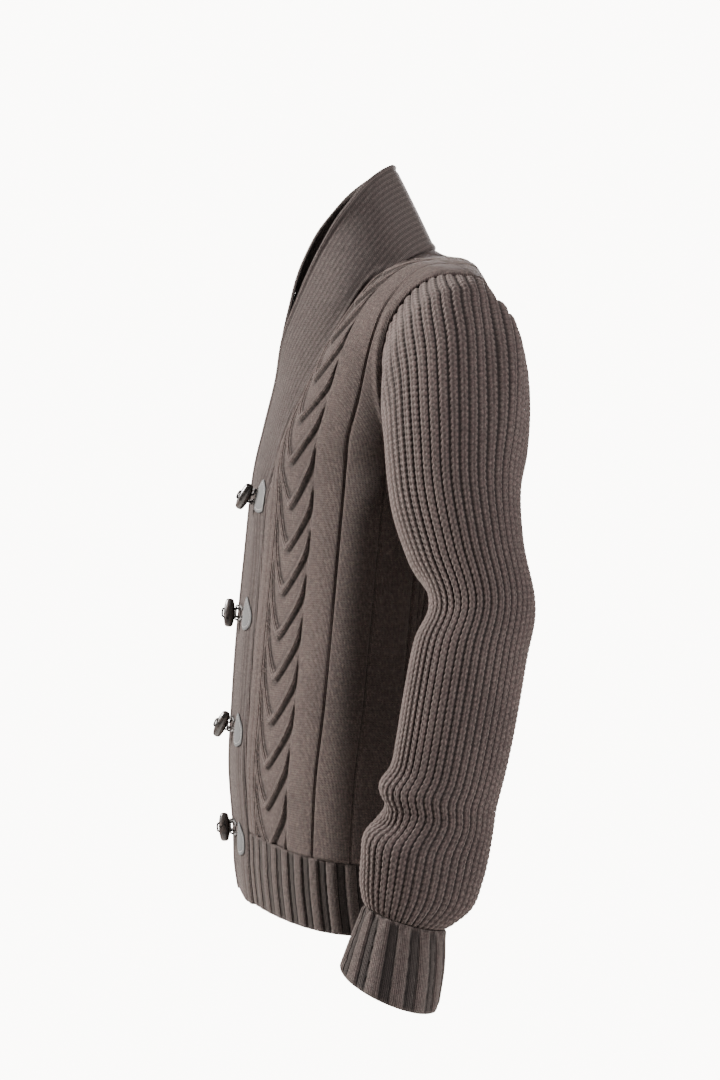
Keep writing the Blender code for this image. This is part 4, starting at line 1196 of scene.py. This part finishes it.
class CARDIGAN_OT_cuffs(bpy.types.Operator):
    """Knit the two ribbed cuffs"""

    bl_idname = "cardigan.cuffs"
    bl_label = "Ribbed cuffs"

    def execute(self, context):
        sizes = context.scene.cardigan_sizes
        group = bpy.data.node_groups["Ribbing"]
        wool = bpy.data.materials["Rib Knit"]
        ribs_round, columns, rows = sizes.cuff_ribs, sizes.cuff_ribs * 20, 46
        unrolled = -np.arange(columns) / columns
        knots = np.array([arm_ring(ring, unrolled) for ring in CUFF])
        places = even_places(knots, 0, len(CUFF) - 1, rows)
        grid = spline(knots, places)
        share = np.linspace(0, 1, rows)[:, None]
        along = lengths_along(grid)
        ribs = (unrolled[None, :] + 2) * ribs_round + sizes.cuff_slant * share
        waves = np.sin(unrolled * 2 * math.pi * ribs_round * 2)[None, :]
        gathers = 0.0012 * waves * smooth_step(1 - share, 0.80, 1.0)
        fade = smooth_step(np.minimum(share, 1 - share), -0.02, 0.06)
        outward = normals(grid, closed=True)
        outer = grid + outward * (gathers - 0.0014 * (1 - fade))[..., None]
        inner = grid - outward * SLEEVE_WALL
        out = outward * fade[..., None]
        up = (along[-1:] - along) / STITCH_TALL
        counted_back = (ribs_round * 4 - ribs)[:, ::-1]
        flipped = (mirrored(outer), mirrored(inner), counted_back, mirrored(out), up[:, ::-1])
        for side, layers in (("left", (outer, inner, ribs, out, up)), ("right", flipped)):
            made = ribbed(f"cuff_{side}_knit", *layers, group, wool, sizes.cuff_height, ribs_round)
            hand_over(made, wool, "rib_knit", f"cuff_{side}")
            declare_sheet(grid, closed=True)
        return {"FINISHED"}


# ---------------------------------------------------------------------------------------------
# Toggles, cords, loops and leather patches

TOGGLE_LENGTH, TOGGLE_RADIUS, TOGGLE_END_RADIUS = 0.029, 0.0058, 0.0034
TOGGLE_HOLE_SPREAD = 0.0042
CORD_RADIUS, CORD_REST = 0.001, 0.0015
LOOP_OVER_CORD, LOOP_HALF_WIDTH, LOOP_REACH = 0.0042, 0.0072, 0.0085
PATCH_HEIGHT, PATCH_WIDTH, PATCH_THICKNESS, PATCH_REST = 0.034, 0.022, 0.0014, 0.00028
PATCH_POINTS = 56
# Across a patch, from its middle to its edge: how far out and how thick, in shares
PATCH_PROFILE = (
    (0.06, 1.0), (0.3, 1.0), (0.55, 1.0), (0.72, 1.0), (0.80, 0.80),
    (0.88, 1.0), (0.96, 0.92), (1.0, 0.55), (0.99, 0.05),
)
SEWN_AT = 0.80
THREAD_RADIUS = 0.00034
PATCH_RIGHT_X = -0.0370
# Each toggle: where it hangs, how far off the cloth, how it leans, and where its left patch is
Toggle = namedtuple("Toggle", "x z stand_off lean_out lean_side patch_x patch_z")
TOGGLES = [
    Toggle(0.025, -0.2545, 0.0115, 22.0, -26.0, 0.0405, -0.2545),
    Toggle(-0.004, -0.3730, 0.0115, 3.0, 0.0, 0.0320, -0.3730),
    Toggle(-0.002, -0.4865, 0.0115, 20.0, -22.0, 0.0320, -0.4905),
    Toggle(-0.004, -0.5920, 0.0110, -2.0, 0.0, 0.0300, -0.6005),
]


def surface_under(names):
    """A function that gives the y of the frontmost of these pieces at x and z."""
    trees = []
    for name in names:
        mesh = bpy.data.objects[name].data
        corners = [v.co.copy() for v in mesh.vertices]
        trees.append(BVHTree.FromPolygons(corners, [p.vertices[:] for p in mesh.polygons]))

    def y_at(x, z):
        hits = [tree.ray_cast(Vector((x, -1.0, z)), Vector((0.0, 1.0, 0.0)))[0] for tree in trees]
        return min(hit.y for hit in hits if hit)

    return y_at


def front_cloth():
    pieces = ("front", "hem_front", "collar")
    return surface_under([f"{piece}_{side}_knit" for piece in pieces for side in ("left", "right")])


def toggle_frame(toggle, y_at):
    """The middle of a toggle, its long axis down, the way across it and the way out from the cloth."""
    middle = Vector((toggle.x, y_at(toggle.x, toggle.z) - toggle.stand_off, toggle.z))
    lean, side = math.radians(toggle.lean_out), math.radians(toggle.lean_side)
    axis = Vector((math.sin(side), -math.sin(lean), -math.cos(lean) * math.cos(side))).normalized()
    across = axis.cross(Vector((0.0, -1.0, 0.0))).normalized()
    return middle, axis, across, across.cross(axis).normalized()


def cord_line(toggle, y_at):
    """From the right patch, under the loop, through one hole of the toggle and back through the other."""
    middle, axis, _, out = toggle_frame(toggle, y_at)
    front, back = TOGGLE_RADIUS + CORD_RADIUS + 0.0002, -TOGGLE_RADIUS - 0.0012
    start_x, lap = PATCH_RIGHT_X + PATCH_WIDTH / 2 - 0.0015, LAP_EDGE_X + 0.0012
    halves = []
    for sign in (-1, 1):
        hole = middle + axis * TOGGLE_HOLE_SPREAD * sign
        level = toggle.z - 0.0042 * sign
        on_cloth = [
            (start_x, start_x, 0.0012),
            (start_x + 0.0037, start_x + 0.0037, 0.0),
            (LAP_EDGE_X - 0.0024, lap, 0.0),
            (LAP_EDGE_X, lap, 0.0006),
            (LAP_EDGE_X + 0.0040, LAP_EDGE_X + 0.0040, 0.0003),
            (toggle.x - 0.0120, toggle.x - 0.0120, 0.0),
            (hole.x - 0.0055, hole.x - 0.0055, 0.0),
        ]
        half = [Vector((x, y_at(near, level) - CORD_REST - more, level)) for x, near, more in on_cloth]
        half += [hole + out * back, hole, hole + out * (TOGGLE_RADIUS - 0.0006)]
        half += [middle + axis * (TOGGLE_HOLE_SPREAD - 0.0011) * sign + out * front]
        halves.append(half)
    return halves[0] + halves[1][::-1]


def loop_line(toggle, y_at):
    """From the left patch round both strands of the toggle's cord and back."""
    start_x = toggle.patch_x - PATCH_WIDTH / 2 + 0.0015
    lean = abs(math.sin(math.radians(toggle.lean_side)))
    end_x = toggle.x - LOOP_REACH - TOGGLE_HOLE_SPREAD * lean
    stations = [
        (start_x, 0.45, 0.5),
        (start_x - 0.0033, 0.62, 0.0),
        ((start_x + toggle.x) / 2, 0.90, 0.0),
        (toggle.x - 0.0005, 1.0, 0.0),
        (toggle.x - 0.0040, 1.0, 0.5),
        (end_x + 0.0012, 0.90, 0.95),
        (end_x, 0.50, 1.0),
    ]
    path = []
    for turn in (1, -1):
        half = []
        for x, wide, climb in stations:
            away = CORD_REST + 0.0001 + (LOOP_OVER_CORD - CORD_REST) * climb
            z = toggle.z + LOOP_HALF_WIDTH * wide * turn
            half.append(Vector((x, y_at(x, z) - away, z)))
        path += half[::turn]
        if turn == 1:
            path.append(Vector((end_x, y_at(end_x, toggle.z) - LOOP_OVER_CORD, toggle.z)))
    return path


def smoothed(path, count):
    """A smooth line through points, with count points on it."""
    points = np.array([tuple(p) for p in path])
    return resampled(spline(points, np.linspace(0, len(points) - 1, 40 * len(points))), count)


def leaf_outline(count, share):
    """x and z round a leather patch: a pointed top and a round foot. share is how far out, 1 at the edge."""
    for step in range(count):
        turn = 2 * math.pi * step / count
        height = math.cos(turn)
        width = math.sin(turn) * (1 - 0.42 * height) * (1 - 0.30 * max(height, 0.0))
        yield width * PATCH_WIDTH / 2 * share, height * PATCH_HEIGHT / 2 * share


def skin(rings, sides):
    """The faces of a closed skin over rings of points, with a cap at each end."""
    faces = []
    for ring in range(rings - 1):
        for side in range(sides):
            a, b = ring * sides + side, ring * sides + (side + 1) % sides
            faces.append((a, b, b + sides, a + sides))
    last = (rings - 1) * sides
    return [*faces, tuple(reversed(range(sides))), tuple(range(last, last + sides))]


def lathe(name, middle, axis, across, out, profile, sides):
    """A solid of turning round an axis, from pairs of place along it and radius."""
    points = []
    for along, radius in profile:
        for side in range(sides):
            turn = 2 * math.pi * side / sides
            points.append(middle + axis * along + (across * math.cos(turn) + out * math.sin(turn)) * radius)
    return new_object(name, [tuple(p) for p in points], skin(len(profile), sides))


class CARDIGAN_OT_toggles(bpy.types.Operator):
    """Turn the four horn toggles"""

    bl_idname = "cardigan.toggles"
    bl_label = "Horn toggles"

    def execute(self, context):
        y_at = front_cloth()
        half = TOGGLE_LENGTH / 2
        profile = []
        for step in range(33):
            along = -math.cos(math.pi * step / 32)
            belly = TOGGLE_END_RADIUS + (TOGGLE_RADIUS - TOGGLE_END_RADIUS) * (1 - abs(along) ** 2.2)
            rounding = math.sqrt(max(1 - max(abs(along) - 0.88, 0) ** 2 / 0.0144, 0.0))
            profile.append((half * along, max(belly * (0.35 + 0.65 * rounding), 0.0006)))
        for number, toggle in enumerate(TOGGLES, 1):
            made = lathe(f"toggle_{number}_horn", *toggle_frame(toggle, y_at), profile, 36)
            hand_over(made, bpy.data.materials["Dark Horn"], "horn", f"toggle_{number}")
        return {"FINISHED"}


class CARDIGAN_OT_cords(bpy.types.Operator):
    """Lay the toggles' cords and the loops that hold them, each of twisted strands"""

    bl_idname = "cardigan.cords"
    bl_label = "Cords and loops"

    def execute(self, context):
        sizes = context.scene.cardigan_sizes
        y_at = front_cloth()
        group = bpy.data.node_groups["Laid Cord"]
        material = bpy.data.materials["Waxed Cord"]
        for number, toggle in enumerate(TOGGLES, 1):
            for label, path in (("toggle_cord", cord_line(toggle, y_at)), ("loop", loop_line(toggle, y_at))):
                made = line_object(f"{label}_{number}_strands", smoothed(path, 160))
                values = {"Strands": 3, "Radius": CORD_RADIUS, "Turn_Length": sizes.cord_twist}
                made = baked(made, group, **values, Material=material)
                hand_over(made, material, "cord", f"{label}_{number}")
        return {"FINISHED"}


class CARDIGAN_OT_patches(bpy.types.Operator):
    """Cut the leather patches and sew them down round their edges"""

    bl_idname = "cardigan.patches"
    bl_label = "Leather patches"

    def execute(self, context):
        sizes = context.scene.cardigan_sizes
        y_at = front_cloth()
        group = bpy.data.node_groups["Hand Stitching"]
        leather, thread = bpy.data.materials["Pale Grey Leather"], bpy.data.materials["Grey Thread"]
        places = [(f"patch_left_{n}", t.patch_x, t.patch_z) for n, t in enumerate(TOGGLES, 1)]
        places += [(f"patch_right_{n}", PATCH_RIGHT_X, t.patch_z) for n, t in enumerate(TOGGLES, 1)]
        for name, x, z in places:

            def on_cloth(share, thick):
                depth = PATCH_REST + PATCH_THICKNESS * thick
                around = [(x + dx, z + dz) for dx, dz in leaf_outline(PATCH_POINTS, share)]
                return [(px, y_at(px, pz) - depth, pz) for px, pz in around]

            points = [point for share, thick in PATCH_PROFILE for point in on_cloth(share, thick)]
            made = new_object(f"{name}_leather", points, skin(len(PATCH_PROFILE), PATCH_POINTS))
            hand_over(made, leather, "leather", name)
            sewn = line_object(f"{name}_thread", on_cloth(SEWN_AT, 0.95), closed=True)
            values = {"Count": 24, "Length": sizes.hand_stitch, "Radius": THREAD_RADIUS}
            sewn = baked(sewn, group, **values, Material=thread)
            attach(sewn, "root")
        return {"FINISHED"}


# ---------------------------------------------------------------------------------------------
# The stage, the settings and the panel

FLOOR_LEVEL, FLOOR_RADIUS, FLOOR_SIDES = -1.52, 4.0, 96
GARMENT_MIDDLE = (0.0, -0.08, -0.30)
Lamp = namedtuple("Lamp", "name power size place colour")
LAMPS = [
    Lamp("key", "key_power", 1.0, (-0.65, -3.0, 1.1), (1.0, 0.95, 0.92)),
    Lamp("fill", "fill_power", 1.6, (2.8, -0.4, 1.4), (1.0, 0.95, 0.95)),
    Lamp("rim", "rim_power", 0.8, (2.9, 1.5, 0.8), (1.0, 0.95, 0.96)),
    Lamp("far rim", "rim_power", 0.8, (-2.9, 1.5, 0.8), (1.0, 0.95, 0.96)),
    Lamp("far fill", "fill_power", 1.6, (-2.8, -0.4, 1.4), (1.0, 0.95, 0.95)),
]
CAMERA_AIM, CAMERA_DISTANCE = (0.0, -0.0805, -0.2987), 2.8
CAMERA_TURN = math.radians(10.0)
SENSOR_HEIGHT, LENS = 36.0, 90.6


def aimed(name, data, place, towards):
    """A light or a camera that looks towards a point."""
    made = bpy.data.objects.new(name, data)
    made.location = place
    made.rotation_euler = (Vector(towards) - Vector(place)).to_track_quat("-Z", "Y").to_euler()
    bpy.context.scene.collection.objects.link(made)
    return made


class CARDIGAN_OT_stage(bpy.types.Operator):
    """Set a pale floor, soft studio light and the camera"""

    bl_idname = "cardigan.stage"
    bl_label = "Stage"

    def execute(self, context):
        scene, looks = context.scene, context.scene.cardigan_looks
        turns = [2 * math.pi * side / FLOOR_SIDES for side in range(FLOOR_SIDES)]
        ring = [(FLOOR_RADIUS * math.cos(turn), FLOOR_RADIUS * math.sin(turn), FLOOR_LEVEL) for turn in turns]
        floor = new_object("floor", ring, [tuple(range(FLOOR_SIDES))])
        floor.data.materials.append(paper_material(tuple(looks.floor)))
        world = bpy.data.worlds.new("Studio")
        world.use_nodes = True
        tree, background = Tree(world.node_tree), world.node_tree.nodes["Background"].inputs
        seen = tree.node("ShaderNodeLightPath")["Is Camera Ray"]
        tree.put(background["Strength"], tree.ramp(seen, 0.0, 1.0, looks.room_light, looks.backdrop_light))
        tree.put(background["Color"], (*looks.backdrop, 1.0))
        scene.world = world
        for lamp in LAMPS:
            light = bpy.data.lights.new(lamp.name, "AREA")
            light.energy, light.size, light.color = getattr(looks, lamp.power), lamp.size, lamp.colour
            aimed(lamp.name, light, lamp.place, GARMENT_MIDDLE)
        camera = bpy.data.cameras.new("camera")
        camera.sensor_fit = "VERTICAL"
        camera.sensor_height, camera.lens = SENSOR_HEIGHT, LENS
        camera.dof.use_dof = False
        away = Vector((math.cos(CAMERA_TURN), -math.sin(CAMERA_TURN), 0.0)) * CAMERA_DISTANCE
        scene.camera = aimed("camera", camera, Vector(CAMERA_AIM) + away, CAMERA_AIM)
        return {"FINISHED"}


def length_of(label, metres, note):
    return bpy.props.FloatProperty(name=label, description=note, default=metres, unit="LENGTH")


def share_of(label, share, note):
    return bpy.props.FloatProperty(name=label, description=note, default=share)


def count_of(label, number, note):
    return bpy.props.IntProperty(name=label, description=note, default=number)


def power_of(label, watts, note):
    return bpy.props.FloatProperty(name=label, description=note, default=watts, unit="POWER")


def colour_of(label, shade, note):
    return bpy.props.FloatVectorProperty(name=label, description=note, subtype="COLOR", size=3, default=shade)


class CardiganSizes(bpy.types.PropertyGroup):
    relief: share_of("Relief", 1.0, "How strongly cables and grooves stand out")
    sleeve_ribs: count_of("Sleeve ribs", 43, "Chains of stitches round a sleeve")
    sleeve_rows: count_of("Sleeve rows", 106, "Stitches along a sleeve")
    rib_height: length_of("Sleeve rib height", 0.0030, "How far a chain stands above its gap")
    hem_rib: length_of("Hem rib", 0.0195, "From one rib of the hem to the next")
    hem_height: length_of("Hem rib height", 0.0034, "How far a hem rib stands out")
    cuff_ribs: count_of("Cuff ribs", 12, "Ribs round a cuff")
    cuff_height: length_of("Cuff rib height", 0.0036, "How far a cuff rib stands out")
    cuff_slant: share_of("Cuff slant", 0.25, "Ribs that a cuff turns by on its way down")
    cord_twist: length_of("Cord twist", 0.0052, "Length in which a cord's strands turn once")
    hand_stitch: length_of("Hand stitch", 0.0024, "Length of a stitch on the leather")


class CardiganLooks(bpy.types.PropertyGroup):
    body: colour_of("Body wool", (0.044, 0.0315, 0.029), "Wool of the fronts and the back")
    body_light: colour_of("Body wool, light", (0.130, 0.098, 0.088), "Pale fibres in the body's wool")
    sleeve: colour_of("Sleeve wool", (0.036, 0.0265, 0.025), "Wool of the sleeves")
    sleeve_light: colour_of("Sleeve wool, light", (0.094, 0.073, 0.067), "Pale fibres in the sleeves' wool")
    collar: colour_of("Collar wool", (0.040, 0.030, 0.0285), "Wool of the collar and bands")
    collar_light: colour_of("Collar wool, light", (0.098, 0.080, 0.075), "Pale fibres in the collar's wool")
    rib: colour_of("Rib wool", (0.031, 0.023, 0.0215), "Wool of the hem and cuffs")
    rib_light: colour_of("Rib wool, light", (0.080, 0.063, 0.058), "Pale fibres in the rib's wool")
    floor: colour_of("Floor", (0.90, 0.87, 0.83), "Paper of the floor")
    backdrop: colour_of("Backdrop", (0.97, 0.94, 0.89), "Light all round")
    room_light: share_of("Room light", 0.09, "Light from all round")
    backdrop_light: share_of("Backdrop light", 11.0, "How bright the backdrop looks")
    key_power: power_of("Key light", 830.0, "Main light, from the front")
    fill_power: power_of("Fill light", 18.0, "Light on the side")
    rim_power: power_of("Rim light", 290.0, "Light from behind")


class CARDIGAN_OT_materials(bpy.types.Operator):
    """Mix the wool, leather, horn, cord and thread"""

    bl_idname = "cardigan.materials"
    bl_label = "Materials"

    def execute(self, context):
        looks = context.scene.cardigan_looks
        for build in (stitch_group, yarn_group, grain_group, ribbing_group, cord_group, stitching_group):
            build()
        knit_material("Body Knit", looks.body, looks.body_light, 0.0, 0.0014, 0.85)
        knit_material("Sleeve Knit", looks.sleeve, looks.sleeve_light, 0.0, 0.0008, 0.45)
        knit_material("Collar Knit", looks.collar, looks.collar_light, 0.6, 0.0011, 0.66)
        knit_material("Rib Knit", looks.rib, looks.rib_light, 0.0, 0.0009, 0.50)
        for mix in (horn_material, cord_material, leather_material, thread_material):
            mix()
        return {"FINISHED"}


STEPS = (
    CARDIGAN_OT_materials, CARDIGAN_OT_back, CARDIGAN_OT_fronts, CARDIGAN_OT_hems, CARDIGAN_OT_sleeves,
    CARDIGAN_OT_cuffs, CARDIGAN_OT_collar, CARDIGAN_OT_toggles, CARDIGAN_OT_cords, CARDIGAN_OT_patches,
    CARDIGAN_OT_stage,
)


class CARDIGAN_PT_panel(bpy.types.Panel):
    """The cardigan's steps, in order"""

    bl_label = "Shawl Collar Cardigan"
    bl_space_type = "VIEW_3D"
    bl_region_type = "UI"
    bl_category = "Cardigan"

    def draw(self, context):
        for settings in (context.scene.cardigan_sizes, context.scene.cardigan_looks):
            for name in settings.__annotations__:
                self.layout.prop(settings, name)
        for step in STEPS:
            self.layout.operator(step.bl_idname)


CLASSES = (CardiganSizes, CardiganLooks, *STEPS, CARDIGAN_PT_panel)


def register():
    for made in CLASSES:
        bpy.utils.register_class(made)
    bpy.types.Scene.cardigan_sizes = bpy.props.PointerProperty(type=CardiganSizes)
    bpy.types.Scene.cardigan_looks = bpy.props.PointerProperty(type=CardiganLooks)


def unregister():
    del bpy.types.Scene.cardigan_looks
    del bpy.types.Scene.cardigan_sizes
    for made in reversed(CLASSES):
        bpy.utils.unregister_class(made)


def main():
    register()
    for step in STEPS:
        folder, name = step.bl_idname.split(".")
        getattr(getattr(bpy.ops, folder), name)()


if __name__ == "__main__":
    main()
